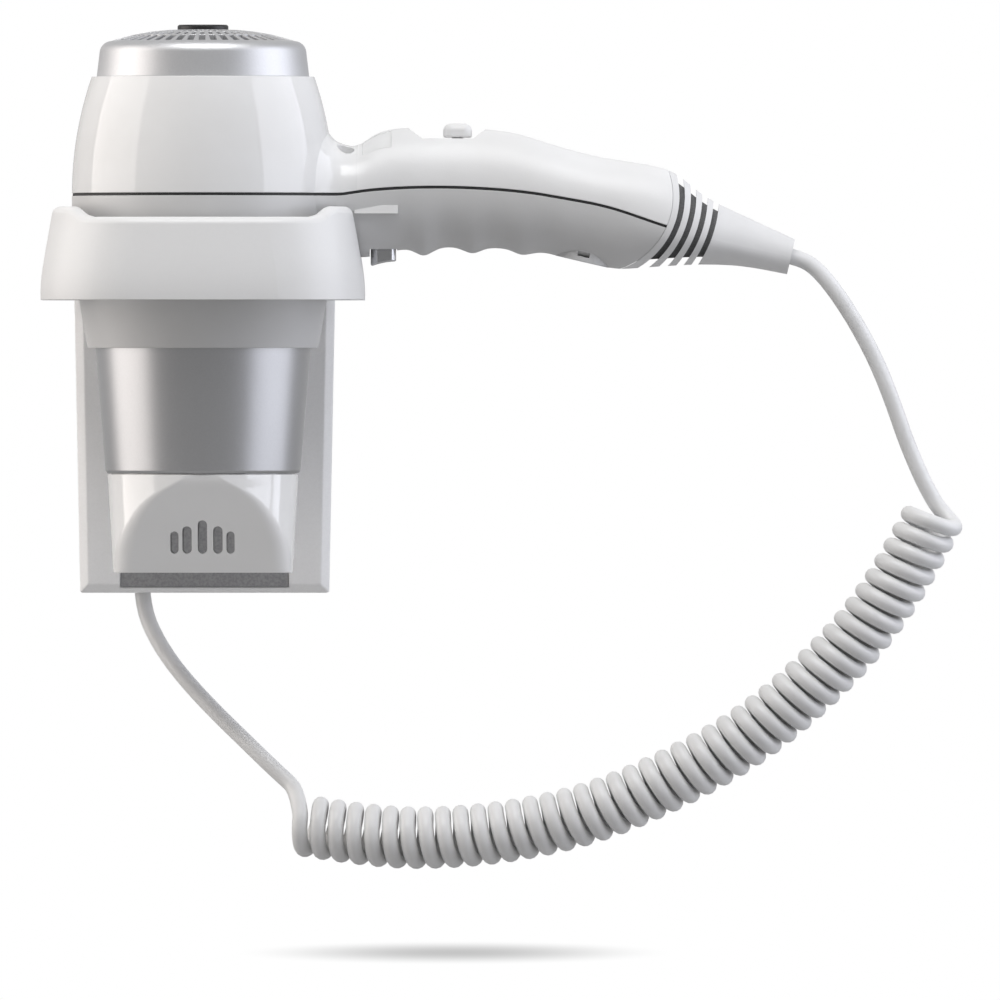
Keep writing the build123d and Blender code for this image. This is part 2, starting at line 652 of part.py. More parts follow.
def helix_arcs(point_at, turns, per_turn=4):
    """Biarcs through a helix, given as a function of the turns made so far."""
    count = round(turns * per_turn)
    step = turns / count
    small = 0.002
    places = [k * step for k in range(count + 1)]
    points = [point_at(t) for t in places]
    dirs = [unit(point_at(t + small) - point_at(t - small)) for t in places]
    arcs = []
    for k in range(count):
        arcs += biarc(points[k], dirs[k], points[k + 1], dirs[k + 1])
    return arcs, points, dirs


def tube_along(edges, radius):
    """Round tube swept along a chain of edges."""
    path = Wire(edges)
    section = Plane(origin=path.position_at(0), z_dir=path.tangent_at(0)) * Circle(radius)
    return sweep(section, path=path)


def least_gap(edges, diameter, step=1.0):
    """Least gap of a tube to itself, measured on points along its middle line."""
    path = Wire(edges)
    count = int(path.length / step)
    points = [path.position_at(k / count) for k in range(count + 1)]
    apart = int(2.5 * diameter / step)
    near = math.inf
    cells = {}
    size = 2 * diameter
    for k, p in enumerate(points):
        cells.setdefault((p.X // size, p.Y // size, p.Z // size), []).append(k)
    for (i, j, m), members in cells.items():
        around = [k for a in (-1, 0, 1) for b in (-1, 0, 1) for c in (-1, 0, 1)
                  for k in cells.get((i + a, j + b, m + c), [])]
        for k in members:
            near = min([near] + [(points[k] - points[q]).length for q in around if q - k > apart])
    return near - diameter


def route_edges(points):
    """Straight runs through the points with the largest even bend at each, and the radii of the bends."""
    corners = [Vector(*p) for p in points]
    radii = []
    for before, here, after in zip(corners, corners[1:], corners[2:]):
        turn = math.radians((here - before).get_angle(after - here))
        shorter = min((here - before).length, (after - here).length)
        radii.append(0.45 * shorter / math.tan(turn / 2))
    return FilletPolyline(*corners, radius=radii).edges(), radii


def end_direction(route):
    return unit(Vector(*route[-1]) - Vector(*route[-2]))


def route_tube(name, route):
    edges, radii = route_edges(route)
    solid = tube_along(edges, CORD_D / 2)
    expected = math.pi * (CORD_D / 2)**2 * Wire(edges).length
    print(name, "length", round(Wire(edges).length, 1), "radii", [round(r, 1) for r in radii],
          "volume ratio", round(solid.volume / expected, 4))
    return solid


def curl_edges():
    """Right-handed curls round the coil's axis, with a straight end square to each free stretch."""
    axis_wire = Wire(route_edges(CURL_ROUTE)[0])
    pitch = CORD_D + CURL_GAP
    whole = math.floor(axis_wire.length / pitch - (CURL_END - CURL_START) / 360)
    turns = whole + (CURL_END - CURL_START) / 360

    def point_at(turn):
        share = min(max(turn / turns, 0), 1)
        along = axis_wire.tangent_at(share)
        over = (turn / turns - share) * axis_wire.length
        front = unit(Vector(0, -1, 0) - along * along.dot(Vector(0, -1, 0)))
        up = front.cross(along)
        angle = math.radians(CURL_START) + 2 * math.pi * turn
        return (axis_wire.position_at(share) + along * over
                + up * (CURL_R * math.cos(angle)) + front * (CURL_R * math.sin(angle)))

    arcs, points, dirs = helix_arcs(point_at, turns)
    begin, begin_dir = Vector(*LOWER_ROUTE[-1]), end_direction(LOWER_ROUTE)
    finish, finish_dir = Vector(*UPPER_ROUTE[-1]), end_direction(UPPER_ROUTE) * -1
    inner, outer = begin + begin_dir * CORD_D, finish - finish_dir * CORD_D
    head = [Edge.make_line(begin, inner)] + biarc(inner, begin_dir, points[0], dirs[0])
    foot = biarc(points[-1], dirs[-1], outer, finish_dir) + [Edge.make_line(outer, finish)]
    print("curls", round(turns, 2), "axis", round(axis_wire.length, 1))
    return head + arcs + foot


def cord_coil():
    edges = curl_edges()
    arcs = [edge for edge in edges if edge.geom_type == GeomType.CIRCLE]
    least_radius = min(edge.radius for edge in arcs)
    print("cord_coil length", round(Wire(edges).length, 1), "least radius", round(least_radius, 2),
          "least gap", round(least_gap(edges, CORD_D), 2))
    return tube_along(edges, CORD_D / 2)


def upright_helix(radius, z, turns, x=0.0, y=0.0):
    """Arcs of a helix on an upright axis, between two heights."""
    def point_at(turn):
        angle = 2 * math.pi * turn
        rise = z[0] + (z[1] - z[0]) * turn / turns
        return Vector(x + radius * math.cos(angle), y + radius * math.sin(angle), rise)

    return helix_arcs(point_at, turns)[0]


def button_spring():
    x = sum(out_from_barrel(BUTTON)) / 2
    low = BUTTON_FLOOR_Z + 4.0 + RUN_GAP + SPRING_WIRE / 2 + SEAT_GAP
    high = PUSH_SWITCH_Z[0] - SPRING_WIRE / 2 - SEAT_GAP
    return tube_along(upright_helix(SPRING_R, (low, high), SPRING_TURNS, x, -AXIS_OUT), SPRING_WIRE / 2)


# Silver ring, concentrator and intake cap

def ring_inner_radius(z):
    """Radius inside the silver ring's taper."""
    share = (z - RING_BOTTOM_Z) / (FRONT_Z - RING_BOTTOM_Z)
    return RING_BOTTOM_R + share * (RING_TOP_R - RING_BOTTOM_R) - RING_WALL


def ring_top_z():
    return RING_FLANGE_Z + RING_FLANGE_T


def nozzle_ring():
    flange = barrel_radius(RING_FLANGE_Z) - SHELL - SEAT_GAP
    inside, lip = RING_TOP_R - RING_WALL, RING_TOP_R - RING_WALL - RING_LIP
    outline = [(RING_BOTTOM_R - RING_WALL, RING_BOTTOM_Z), (RING_BOTTOM_R - 0.7, RING_BOTTOM_Z),
               (RING_BOTTOM_R, RING_BOTTOM_Z + 0.9), (RING_TOP_R, FRONT_Z), (RING_TOP_R, RING_FLANGE_Z),
               (flange, RING_FLANGE_Z), (flange, ring_top_z()), (lip, ring_top_z()),
               (lip, ring_top_z() - 2.0), (inside, ring_top_z() - 2.0), (inside, FRONT_Z)]
    return AXIS * turned(outline)


def tip_section(share, inset):
    """Level section of the concentrator, from nearly a circle at its top to a slot at its mouth."""
    top_z = RING_BOTTOM_Z - RUN_GAP
    left = (1 - share) * (top_z - TIP_BOTTOM_Z)
    radius = TIP_TOP_R + share * (TIP_BOTTOM_R - TIP_TOP_R)
    depth = min(MOUTH_T / 2 + left * math.tan(math.radians(MOUTH_SLOPE)), TIP_FULL * radius)
    corner = min(TIP_CORNER, 0.8 * depth) - inset
    face = Circle(radius - inset) & Rectangle(2 * radius, 2 * (depth - inset))
    return Pos(0, 0, TIP_BOTTOM_Z + left) * fillet(face.vertices(), corner)


def nozzle_tip():
    top_z = RING_BOTTOM_Z - RUN_GAP
    spigot_r = RING_BOTTOM_R - RING_WALL - RUN_GAP
    solid = loft([tip_section(share, 0.0) for share in TIP_LEVELS])
    solid += rod(spigot_r, (top_z - 1.0, top_z + TIP_SPIGOT))
    inside = [tip_section(share, TIP_WALL) for share in TIP_LEVELS]
    solid -= loft(inside) + extrude(inside[-1], -2.0)
    solid -= rod(spigot_r - TIP_WALL, (top_z - 2.0, top_z + TIP_SPIGOT))
    for place, width, height in TIP_SLOTS:
        for side in (-1, 1):
            middle = Pos(side * place, 0, TIP_SLOT_FOOT_Z + height / 2)
            slot = SlotOverall(height, width, rotation=90)
            solid -= middle * extrude(Plane.XZ * slot, 2 * TIP_TOP_R, both=True)
    return AXIS * solid


def outlet_z():
    """Heights of the outlet grille, just above the concentrator's spigot."""
    low = RING_BOTTOM_Z - RUN_GAP + TIP_SPIGOT + 2.0
    return (low, low + GRILLE_T)


def outlet_grille():
    low, high = outlet_z()
    rim = ring_inner_radius(low) - SEAT_GAP
    solid = ring(rim, rim - 2.0, (low, high))
    for r in (8.0, 16.0, 24.0):
        solid += ring(r, r - 1.2, (low, high))
    for k in range(4):
        solid += Rot(0, 0, 45 * k) * Pos(0, 0, (low + high) / 2) * Box(2 * rim - 2.0, 1.2, GRILLE_T)
    return AXIS * solid


def intake_cap():
    seat = REAR_Z
    shoulder_z = CAP_TOP_Z - CAP_SHOULDER
    side = CAP_R - 1.0
    outline = Curve() + Line((CAP_R, seat), (side, shoulder_z - CAP_SHOULDER))
    bend = [(side, shoulder_z - CAP_SHOULDER), (side - CAP_SHOULDER, shoulder_z)]
    outline += TangentArc(*bend, tangent=(-0.06, 1))
    dome = [bend[1], (22.8, CAP_TOP_Z - 1.5), (DISC_R, CAP_TOP_Z)]
    outline += ThreePointArc(*dome)
    outline += Polyline((DISC_R, CAP_TOP_Z), (0, CAP_TOP_Z), (0, seat), (CAP_R, seat))
    solid = revolve(Plane.XZ * make_face(outline), Axis.Z)
    inner = [(0, seat), (side - CAP_WALL, seat), (side - CAP_WALL, shoulder_z - CAP_SHOULDER),
             (side - CAP_SHOULDER - 1, shoulder_z - CAP_WALL), (22.8, CAP_TOP_Z - 1.5 - CAP_WALL),
             (0, CAP_TOP_Z - CAP_WALL)]
    solid -= turned(inner)
    skirt_r = REAR_R - SHELL - SEAT_GAP
    solid += ring(skirt_r, skirt_r - CAP_WALL, (seat - CAP_SKIRT, seat + 2.0))
    slots = Part()
    for start, end, width in CAP_SLOT_ROWS:
        bar = Pos((start + end) / 2, 0, CAP_TOP_Z) * Box(end - start, width, 4 * CAP_SHOULDER)
        slots += [Rot(0, 0, 360 * k / CAP_SLOTS) * bar for k in range(CAP_SLOTS)]
    return AXIS * (solid - slots - rod(0.5 * DISC_R, (seat, CAP_TOP_Z + 1)))


def centre_disc():
    disc = rod(DISC_R, (CAP_TOP_Z, CAP_TOP_Z + DISC_T))
    disc = chamfer(disc.edges().sort_by(Axis.Z)[-1], 0.5)
    return AXIS * (disc + rod(0.5 * DISC_R - SEAT_GAP, (CAP_TOP_Z - 2.5, CAP_TOP_Z)))


def intake_filter():
    skirt_in = REAR_R - SHELL - SEAT_GAP - CAP_WALL
    return AXIS * rod(skirt_in - SEAT_GAP, (duct_top_z(), duct_top_z() + 1.0))


# Fan, motor and heater on the barrel's axis

def duct_top_z():
    return REAR_Z - CAP_SKIRT


def fan_duct():
    """Air duct with the motor's cup held inside it by stator vanes."""
    bore = DUCT_R - DUCT_WALL
    cup_r = MOTOR_R + SEAT_GAP + CUP_WALL
    cup_foot = MOTOR_TOP_Z - MOTOR_H + 8.0
    solid = ring(DUCT_R, bore, (ring_top_z(), duct_top_z()))
    solid += ring(cup_r, MOTOR_R + SEAT_GAP, (cup_foot, MOTOR_TOP_Z + 2.0))
    solid += ring(cup_r, BUSH_R + 0.5, (MOTOR_TOP_Z, MOTOR_TOP_Z + 2.0))
    vane = Pos((cup_r + bore) / 2, 0, MOTOR_TOP_Z - 14.0) * Rot(18, 0, 0) * Box(bore - cup_r + 1.4, 1.2, 22.0)
    for k in range(VANES):
        solid += Rot(0, 0, 360 * (k + 0.5) / VANES) * vane
    window_z = (lead_level() - 4.0, lead_level() + 4.0)
    solid -= block((0.5 * DUCT_R, 2 * DUCT_R), (-7.0, 7.0), window_z)
    for x in (-8.0, 8.0):
        solid -= rod(SMALL_SHANK_R + SEAT_GAP, (MOTOR_TOP_Z - 1, MOTOR_TOP_Z + 3), x)
    return AXIS * solid


def motor_foot_z():
    return MOTOR_TOP_Z - MOTOR_H


def lead_level():
    """Height at which the leads cross to the motor, below it."""
    return motor_foot_z() - 3.0


def motor_can():
    low = motor_foot_z() + MOTOR_CAP_H
    solid = rod(MOTOR_R, (low, MOTOR_TOP_Z)) - rod(MOTOR_R - 1.0, (low, MOTOR_TOP_Z - 1.2))
    solid -= rod(BUSH_R + SHAFT_FIT, (low, MOTOR_TOP_Z + 1))
    for x in (-8.0, 8.0):
        solid -= rod(SMALL_SHANK_R + SHAFT_FIT, (low, MOTOR_TOP_Z + 1), x)
    return AXIS * solid


def motor_screws():
    shape = screw(SMALL_HEAD_R, SMALL_HEAD_H - 0.4, SMALL_SHANK_R, 3.2)
    return [AXIS * Pos(x, 0, MOTOR_TOP_Z + 2.0) * shape for x in (-8.0, 8.0)]


def motor_magnets():
    z = (motor_foot_z() + 10.0, MOTOR_TOP_Z - 6.0)
    outer = MOTOR_R - 1.0 - SEAT_GAP
    solid = ring(outer, outer - 1.8, z) - block((-4, 4), (-MOTOR_R, MOTOR_R), z)
    return [AXIS * piece for piece in solid.solids()]


def motor_end_cap():
    low, high = motor_foot_z(), motor_foot_z() + MOTOR_CAP_H
    solid = rod(MOTOR_R, (low, high)) - rod(BUSH_R + SHAFT_FIT, (low, high))
    for k in (-1, 1):
        solid += block((-2.0, 2.0), (min(5 * k, 8 * k), max(5 * k, 8 * k)), (high, high + 2.0))
    return AXIS * solid


def motor_brushes():
    low = motor_foot_z() + MOTOR_CAP_H + 2.0
    inner, outer = commutator_r() + 0.2, 9.0
    left = block((-1.5, 1.5), (-outer, -inner), (low, low + 3.5))
    right = block((-1.5, 1.5), (inner, outer), (low, low + 3.5))
    return [AXIS * left, AXIS * right]


def motor_bushes():
    bore = SHAFT_R + SHAFT_FIT
    low = motor_foot_z()
    return [AXIS * ring(BUSH_R, bore, z) for z in ((low, low + 3.0), (MOTOR_TOP_Z - 3.0, MOTOR_TOP_Z + 1.0))]


def commutator_r():
    return 4.0


def commutator():
    low = motor_foot_z() + MOTOR_CAP_H + 1.5
    return AXIS * ring(commutator_r(), SHAFT_R + 0.02, (low, low + 5.0))


def armature():
    z = (motor_foot_z() + 11.0, MOTOR_TOP_Z - 7.0)
    outer = MOTOR_R - 1.0 - 1.8 - 0.7
    solid = ring(outer, SHAFT_R + 0.02, z)
    for k in range(5):
        slot = block((5.0, outer + 1), (-1.0, 1.0), z) + rod(2.0, z, 6.0)
        solid -= Rot(0, 0, 72 * k) * slot
    return AXIS * solid


def rotor_shaft():
    return AXIS * rod(SHAFT_R, (motor_foot_z() + 0.5, MOTOR_TOP_Z + 4.0 + FAN_H))


def fan():
    z = (MOTOR_TOP_Z + 4.5, MOTOR_TOP_Z + 4.5 + FAN_H)
    tip = DUCT_R - DUCT_WALL - FAN_TIP_GAP
    middle = Pos((FAN_HUB_R + tip) / 2, 0, sum(z) / 2)
    blade = middle * Rot(48, 0, 0) * Box(tip - FAN_HUB_R + 4.0, 1.3, 1.3 * FAN_H)
    solid = rod(FAN_HUB_R, z)
    for k in range(FAN_BLADES):
        solid += Rot(0, 0, 360 * k / FAN_BLADES) * blade
    solid = solid & rod(tip, z)
    return AXIS * (solid - rod(SHAFT_R + 0.02, z))


def heater_z():
    return (outlet_z()[1], outlet_z()[1] + HEATER_H)


def mica_sleeve():
    return AXIS * ring(SLEEVE_R, SLEEVE_R - SLEEVE_T, heater_z())


def mica_board(turn, slot_up):
    """One of two crossed boards: wide tabs at both ends, a narrow waist and half a cross slot."""
    low, high = heater_z()
    wide = math.sqrt((SLEEVE_R - SLEEVE_T - SEAT_GAP)**2 - MICA_T**2)
    tab = 5.0
    half = MICA_T / 2
    solid = block((-HEATER_R, HEATER_R), (-half, half), (low, high))
    for z in ((low, low + tab), (high - tab, high)):
        solid += block((-wide, wide), (-half, half), z)
    middle = (low + high) / 2
    slot = (middle, high) if slot_up else (low, middle)
    return AXIS * Rot(0, 0, turn) * (solid - block((-half - 0.05, half + 0.05), (-half, half), slot))


def heater_wire():
    low, high = heater_z()
    z = (low + 7.0, high - 7.0)
    arcs = upright_helix(HEATER_R + HEATER_WIRE / 2 + SEAT_GAP, z, HEATER_TURNS, 0.0, -AXIS_OUT)
    return tube_along(arcs, HEATER_WIRE / 2)


def thermostat():
    base = heater_z()[0] + 14.0
    front = -MICA_T / 2 - SHAFT_FIT
    plate = block((6.0, 18.0), (front - 1.0, front), (base, base + 10.0))
    return AXIS * (plate + Pos(12.0, front - 2.0, base + 5.0) * Rot(90, 0, 0) * Cylinder(3.5, 2.0))


def thermal_fuse():
    base = heater_z()[0] + 12.0
    return AXIS * rod(1.6, (base, base + 12.0), -12.0, -MICA_T / 2 - SHAFT_FIT - 1.6)


# Other electrical parts in the dryer

def capacitor():
    solid = block(out_from_barrel(CAPACITOR), across(CAPACITOR_W / 2), CAPACITOR_Z)
    return fillet(solid.edges().filter_by(Axis.Z), 1.5)


def lead(points, bend=4.0):
    """Insulated wire along straight runs with small bends."""
    corners = [Vector(*p) for p in points]
    return tube_along(FilletPolyline(*corners, radius=bend).edges(), LEAD_R)


def barrel_leads(z, down_x, level, ends):
    """Pair of leads from the slide switch into the barrel, down to a level and on to the ends."""
    start = BARREL_R + sum(RECESS) / 2 - SWITCH_L / 2
    pair = []
    for side in (-1, 1):
        y = -AXIS_OUT + side * (MICA_T / 2 + LEAD_R + SEAT_GAP)
        route = [(start, z), (down_x, z), (down_x, level)] + ends
        pair.append(lead([(x, y, height) for x, height in route], bend=3.0))
    return pair


def motor_leads():
    level = motor_foot_z() - LEAD_R - SEAT_GAP
    return barrel_leads(PUSH_SWITCH_Z[1] + 4.2, DUCT_R + 2.0, level, [(8.0, level)])


def heater_leads():
    level = lead_level() - 1.5
    foot = heater_z()[1] - 6.0
    return barrel_leads(PUSH_SWITCH_Z[1] + 1.6, DUCT_R + 5.0, level, [(18.0, level), (18.0, foot)])


def handle_leads():
    """Pair of leads from the end of the cord to the slide switch."""
    end = BARREL_R + CLAMP[0] - 5.6
    z = clamp_height() + 1.0
    switch_x = BARREL_R + sum(RECESS) / 2 + SWITCH_L / 2
    pair = []
    for side in (-1, 1):
        y = -AXIS_OUT + side * (LEAD_R + 0.3)
        rise = (z + SWITCH_Z[1]) / 2 + 2.0
        route = [(end, y, z + 0.6), (end - 9.0, y, z + 6.0), (switch_x + 5.0, y, rise), (switch_x, y, rise)]
        pair.append(lead(route, bend=5.0))
    return pair


# Wall holder

def holder_face(inset):
    """Tapered outline of the holder, in the wall's plane."""
    half = HOLDER_H / 2
    corners = [(-HOLDER_TOP_W, half), (HOLDER_TOP_W, half),
               (HOLDER_BOTTOM_W, -half), (-HOLDER_BOTTOM_W, -half)]
    face = make_face(Polyline(*corners, close=True))
    if inset:
        face = offset(face, -inset)
    return Plane.XZ * face


def panel_face(grow):
    """Outline of the dark panel in the cover's face."""
    foot = -HOLDER_H / 2 + COVER_BEVEL - 0.9 - grow
    wide, narrow = PANEL_W + grow, PANEL_W - 1.0 + grow
    corners = [(-wide, foot), (wide, foot), (narrow, PANEL_TOP_Z + grow), (-narrow, PANEL_TOP_Z + grow)]
    return Plane.XZ * make_face(Polyline(*corners, close=True))


def collar_screw_places():
    return [(x, z) for x in (-COLLAR_SCREW_X, COLLAR_SCREW_X) for z in COLLAR_SCREW_Z]


def panel_screw_places():
    return [(x, PANEL_TOP_Z - 6.0) for x in (-PANEL_W + 6.0, PANEL_W - 6.0)]


def rod_y(r, y, x, z):
    """Cylinder square to the wall between two distances from it."""
    return Pos(x, (y[0] + y[1]) / 2, z) * Rot(90, 0, 0) * Cylinder(r, y[1] - y[0])


def holder_cover():
    solid = extrude(holder_face(0.0), HOLDER_DEPTH)
    face = solid.faces().sort_by(Axis.Y)[0]
    solid = chamfer(face.edges(), COVER_BEVEL, COVER_BEVEL_D, reference=face)
    solid = fillet(solid.edges().filter_by(Axis.Y), HOLDER_CORNER)
    solid -= extrude(holder_face(COVER_WALL), HOLDER_DEPTH - COVER_WALL - PANEL_T - 0.4)
    solid -= Pos(0, -HOLDER_DEPTH, 0) * extrude(panel_face(SEAT_GAP), -PANEL_T - 0.4)
    solid -= block((-HOLDER_TOP_W, HOLDER_TOP_W), (-0.3, 1.0), (-HOLDER_H, HOLDER_H))
    front = (-HOLDER_DEPTH - 1, -HOLDER_DEPTH + 2 * COVER_WALL)
    for x, z in collar_screw_places():
        solid -= rod_y(SMALL_SHANK_R + SEAT_GAP, front, x, z)
    for x, z in panel_screw_places():
        solid -= rod_y(SMALL_SHANK_R + SHAFT_FIT, front, x, z)
    foot = (-HOLDER_H / 2 - 1, -HOLDER_H / 2 + 2 * COVER_WALL)
    solid -= rod(gland_r() + SEAT_GAP, foot, *GLAND)
    for x in (-COVER_SCREW_X, COVER_SCREW_X):
        solid -= rod(SMALL_SHANK_R + SEAT_GAP, foot, x, GLAND[1])
        solid -= rod(SMALL_HEAD_R + SEAT_GAP, (foot[0], cover_screw_z()), x, GLAND[1])
    return solid


def cover_screw_z():
    """Height of the seats under the heads of the screws in the cover's foot."""
    return -HOLDER_H / 2 + COVER_SCREW_SUNK


def cover_inside_y():
    return -HOLDER_DEPTH + COVER_WALL + PANEL_T + 0.4


def wall_plate():
    solid = extrude(holder_face(COVER_WALL + SEAT_GAP), PLATE_T)
    floor_z = -HOLDER_H / 2 + COVER_WALL
    for x in (-COVER_SCREW_X, COVER_SCREW_X):
        solid += block((x - 4, x + 4), (GLAND[1] - 4, -PLATE_T + 1), (floor_z + SEAT_GAP, floor_z + 7.0))
        solid -= rod(SMALL_SHANK_R + SHAFT_FIT, (floor_z, floor_z + 8.0), x, GLAND[1])
    saddle = block((GLAND[0] - 4, GLAND[0] + 4), (GLAND[1] + CORD_D / 2 + SEAT_GAP, -PLATE_T + 1), TIE_Z)
    solid += saddle
    for x in tie_screw_places():
        solid += rod_y(3.0, (tie_front_y(), -PLATE_T + 1), x, sum(TIE_Z) / 2)
        solid -= rod_y(SMALL_SHANK_R + SHAFT_FIT, (tie_front_y() - 1, tie_front_y() + 6), x, sum(TIE_Z) / 2)
    for x in (-WALL_SCREW_X, WALL_SCREW_X):
        for z in (-WALL_SCREW_Z, WALL_SCREW_Z):
            solid -= rod_y(WALL_SCREW_R, (-2 * PLATE_T, 1), x, z)
    return solid - rod_y(ENTRY_R, (-2 * PLATE_T, 1), 0, ENTRY_Z)


def gland_r():
    return CORD_D / 2 + 1.8


def cord_grommet():
    foot = -HOLDER_H / 2
    solid = rod(gland_r(), (foot, foot + COVER_WALL + 1.0), *GLAND)
    solid += rod(gland_r() + GLAND_RIM, (foot + COVER_WALL + SEAT_GAP, foot + COVER_WALL + 2.5), *GLAND)
    return solid - rod(CORD_D / 2 + SEAT_GAP, (foot - 1, foot + 10), *GLAND)


def tie_screw_places():
    return (GLAND[0] - CORD_D / 2 - 4.5, GLAND[0] + CORD_D / 2 + 4.5)


def tie_front_y():
    """Front of the cord's tail, where the clamp bar lies."""
    return GLAND[1] - CORD_D / 2 - SEAT_GAP


def holder_cord_clamp():
    left, right = tie_screw_places()
    bar = block((left - 3.5, right + 3.5), (tie_front_y() - 1.0, tie_front_y()), TIE_Z)
    for x in (left, right):
        bar -= rod_y(SMALL_SHANK_R + SEAT_GAP, (-HOLDER_DEPTH, 0), x, sum(TIE_Z) / 2)
    return bar


def holder_clamp_screws():
    shape = Rot(90, 0, 0) * screw(SMALL_HEAD_R, 0.8, SMALL_SHANK_R, 6.0)
    return [Pos(x, tie_front_y() - 1.0, sum(TIE_Z) / 2) * shape for x in tie_screw_places()]


def holder_cord_tail():
    return rod(CORD_D / 2, (-HOLDER_H / 2 + 4 * SEAT_GAP, TAIL_TOP_Z), *GLAND)


def terminal_block():
    left, right, foot, top = TERMINAL
    solid = block((left, right), (-PLATE_T - TERMINAL_D, -PLATE_T), (foot, top))
    for k in range(3):
        x = left + (right - left) * (k + 0.5) / 3
        solid -= rod_y(2.4, (-PLATE_T - TERMINAL_D - 1, -PLATE_T - TERMINAL_D + 4), x, (foot + top) / 2)
        solid -= rod(1.3, (foot, foot + 4.0), x, -PLATE_T - TERMINAL_D / 2)
    return solid


def terminal_screws():
    left, right, foot, top = TERMINAL
    shape = Rot(90, 0, 0) * screw(2.2, 1.5, 1.2, 0.5)
    y = -PLATE_T - TERMINAL_D + 3.4
    return [Pos(left + (right - left) * (k + 0.5) / 3, y, (foot + top) / 2) * shape for k in range(3)]


def holder_leads():
    """Pair of leads from the cord's tail up to the terminal block."""
    left, right, foot, top = TERMINAL
    pair = []
    for k in range(2):
        x = left + (right - left) * (k + 0.5) / 3
        start = GLAND[0] - 1.2 + 2.4 * k
        y = -PLATE_T - TERMINAL_D / 2
        bend_z = TAIL_TOP_Z + 14.0 - 5.0 * k
        route = [(start, GLAND[1], TAIL_TOP_Z), (start, GLAND[1], bend_z)]
        route += [(x, y, bend_z + 18.0), (x, y, foot + 3.5)]
        pair.append(lead(route, bend=6.0))
    return pair


def terminal_cover():
    solid = extrude(panel_face(0.0), PANEL_T)
    solid = Pos(0, -HOLDER_DEPTH + PANEL_T + 0.2, 0) * solid
    for x, z in panel_screw_places():
        solid -= rod_y(SMALL_SHANK_R + SEAT_GAP, (-HOLDER_DEPTH - 1, 0), x, z)
    return solid


def terminal_cover_screws():
    shape = Rot(90, 0, 0) * screw(SMALL_HEAD_R, 1.2, SMALL_SHANK_R, 3.0)
    return [Pos(x, -HOLDER_DEPTH + 0.2, z) * shape for x, z in panel_screw_places()]


def cover_screws():
    shape = Rot(180, 0, 0) * screw(SMALL_HEAD_R, COVER_SCREW_HEAD, SMALL_SHANK_R, 7.0)
    return [Pos(x, GLAND[1], cover_screw_z()) * shape for x in (-COVER_SCREW_X, COVER_SCREW_X)]


def collar_plan(half, front, back, back_round, z):
    """Plan of the collar: straight sides, wide front corners and a gently bowed front."""
    bow = math.radians(COLLAR_BULGE_ANGLE)
    corner_run = COLLAR_CORNER / math.tan(math.pi / 4 - bow / 2)
    inner = half - COLLAR_CORNER
    bulge = inner / math.sin(bow) * (1 - math.cos(bow))
    shoulder = front + bulge + corner_run
    diagonal = back_round * (1 - math.sqrt(0.5))
    outline = Curve() + Line((-half + back_round, back), (half - back_round, back))
    outline += ThreePointArc((inner, front + bulge), (0, front), (-inner, front + bulge))
    for k in (-1, 1):
        bend = (k * (half - diagonal), back - diagonal)
        outline += ThreePointArc((k * (half - back_round), back), bend, (k * half, back - back_round))
        outline += Line((k * half, back - back_round), (k * half, shoulder))
        outline += TangentArc((k * half, shoulder), (k * inner, front + bulge), tangent=(0, -1))
    return Pos(0, 0, z) * make_face(outline)


def collar_body(inset, back, overrun=0.0):
    """Flared band of the collar, drawn in by the inset."""
    top_half = BARREL_R + COLLAR_ROOM + COLLAR_WALL - inset
    levels = list(COLLAR_FLARE)
    if overrun:
        lean = COLLAR_FLARE[-2][1] / (COLLAR_H - COLLAR_FLARE[-2][0])
        levels = [(-overrun, COLLAR_FLARE[0][1])] + levels + [(COLLAR_H + overrun, -lean * overrun)]
    plans = []
    for height, flare in levels:
        front = -AXIS_OUT - top_half - COLLAR_FRONT - flare
        plans.append(collar_plan(top_half + flare, front, back, COLLAR_BACK_ROUND, COLLAR_Z + height))
    return loft(plans)


def collar_notch():
    """Opening for the handle in the collar's side, following the handle's underside."""
    widest = COLLAR_FLARE[0][1]
    wall_x = (COLLAR_ROOM, COLLAR_ROOM + COLLAR_WALL + widest)
    half = smooth(GRIP_DEPTH, wall_x[0]) + NOTCH_ROOM
    middle = smooth(GRIP_PART, wall_x[1])
    down = middle - smooth(GRIP_BOTTOM, wall_x[1]) + RUN_GAP
    outline = Curve()
    for start in (180, 270):
        outline += EllipticalCenterArc((0, 0), half, down, start_angle=start, arc_size=90)
    outline += Polyline((half, 0), (half, COLLAR_H), (-half, COLLAR_H), (-half, 0))
    plane = Plane(origin=(BARREL_R, -AXIS_OUT, middle), x_dir=(0, 1, 0), z_dir=(1, 0, 0))
    return extrude(plane * make_face(outline), COLLAR_ROOM + COLLAR_WALL + 2 * widest)


def collar_dip():
    """Shallow cut that lowers the collar's front edge, with a smooth ramp at each end."""
    top = COLLAR_Z + COLLAR_H
    outer, inner = COLLAR_DIP_W + COLLAR_DIP_RAMP / 2, COLLAR_DIP_W - COLLAR_DIP_RAMP / 2
    outline = Curve() + Line((-inner, top - COLLAR_DIP), (inner, top - COLLAR_DIP))
    for k in (-1, 1):
        ramp = [(k * inner, top - COLLAR_DIP), (k * outer, top + 0.01)]
        outline += Spline(*ramp, tangents=[(k, 0), (k, 0)])
    outline += Polyline((-outer, top + 0.01), (-outer, top + 5), (outer, top + 5), (outer, top + 0.01))
    return Pos(0, -AXIS_OUT, 0) * extrude(Plane.XZ * make_face(outline), 2 * BARREL_R)


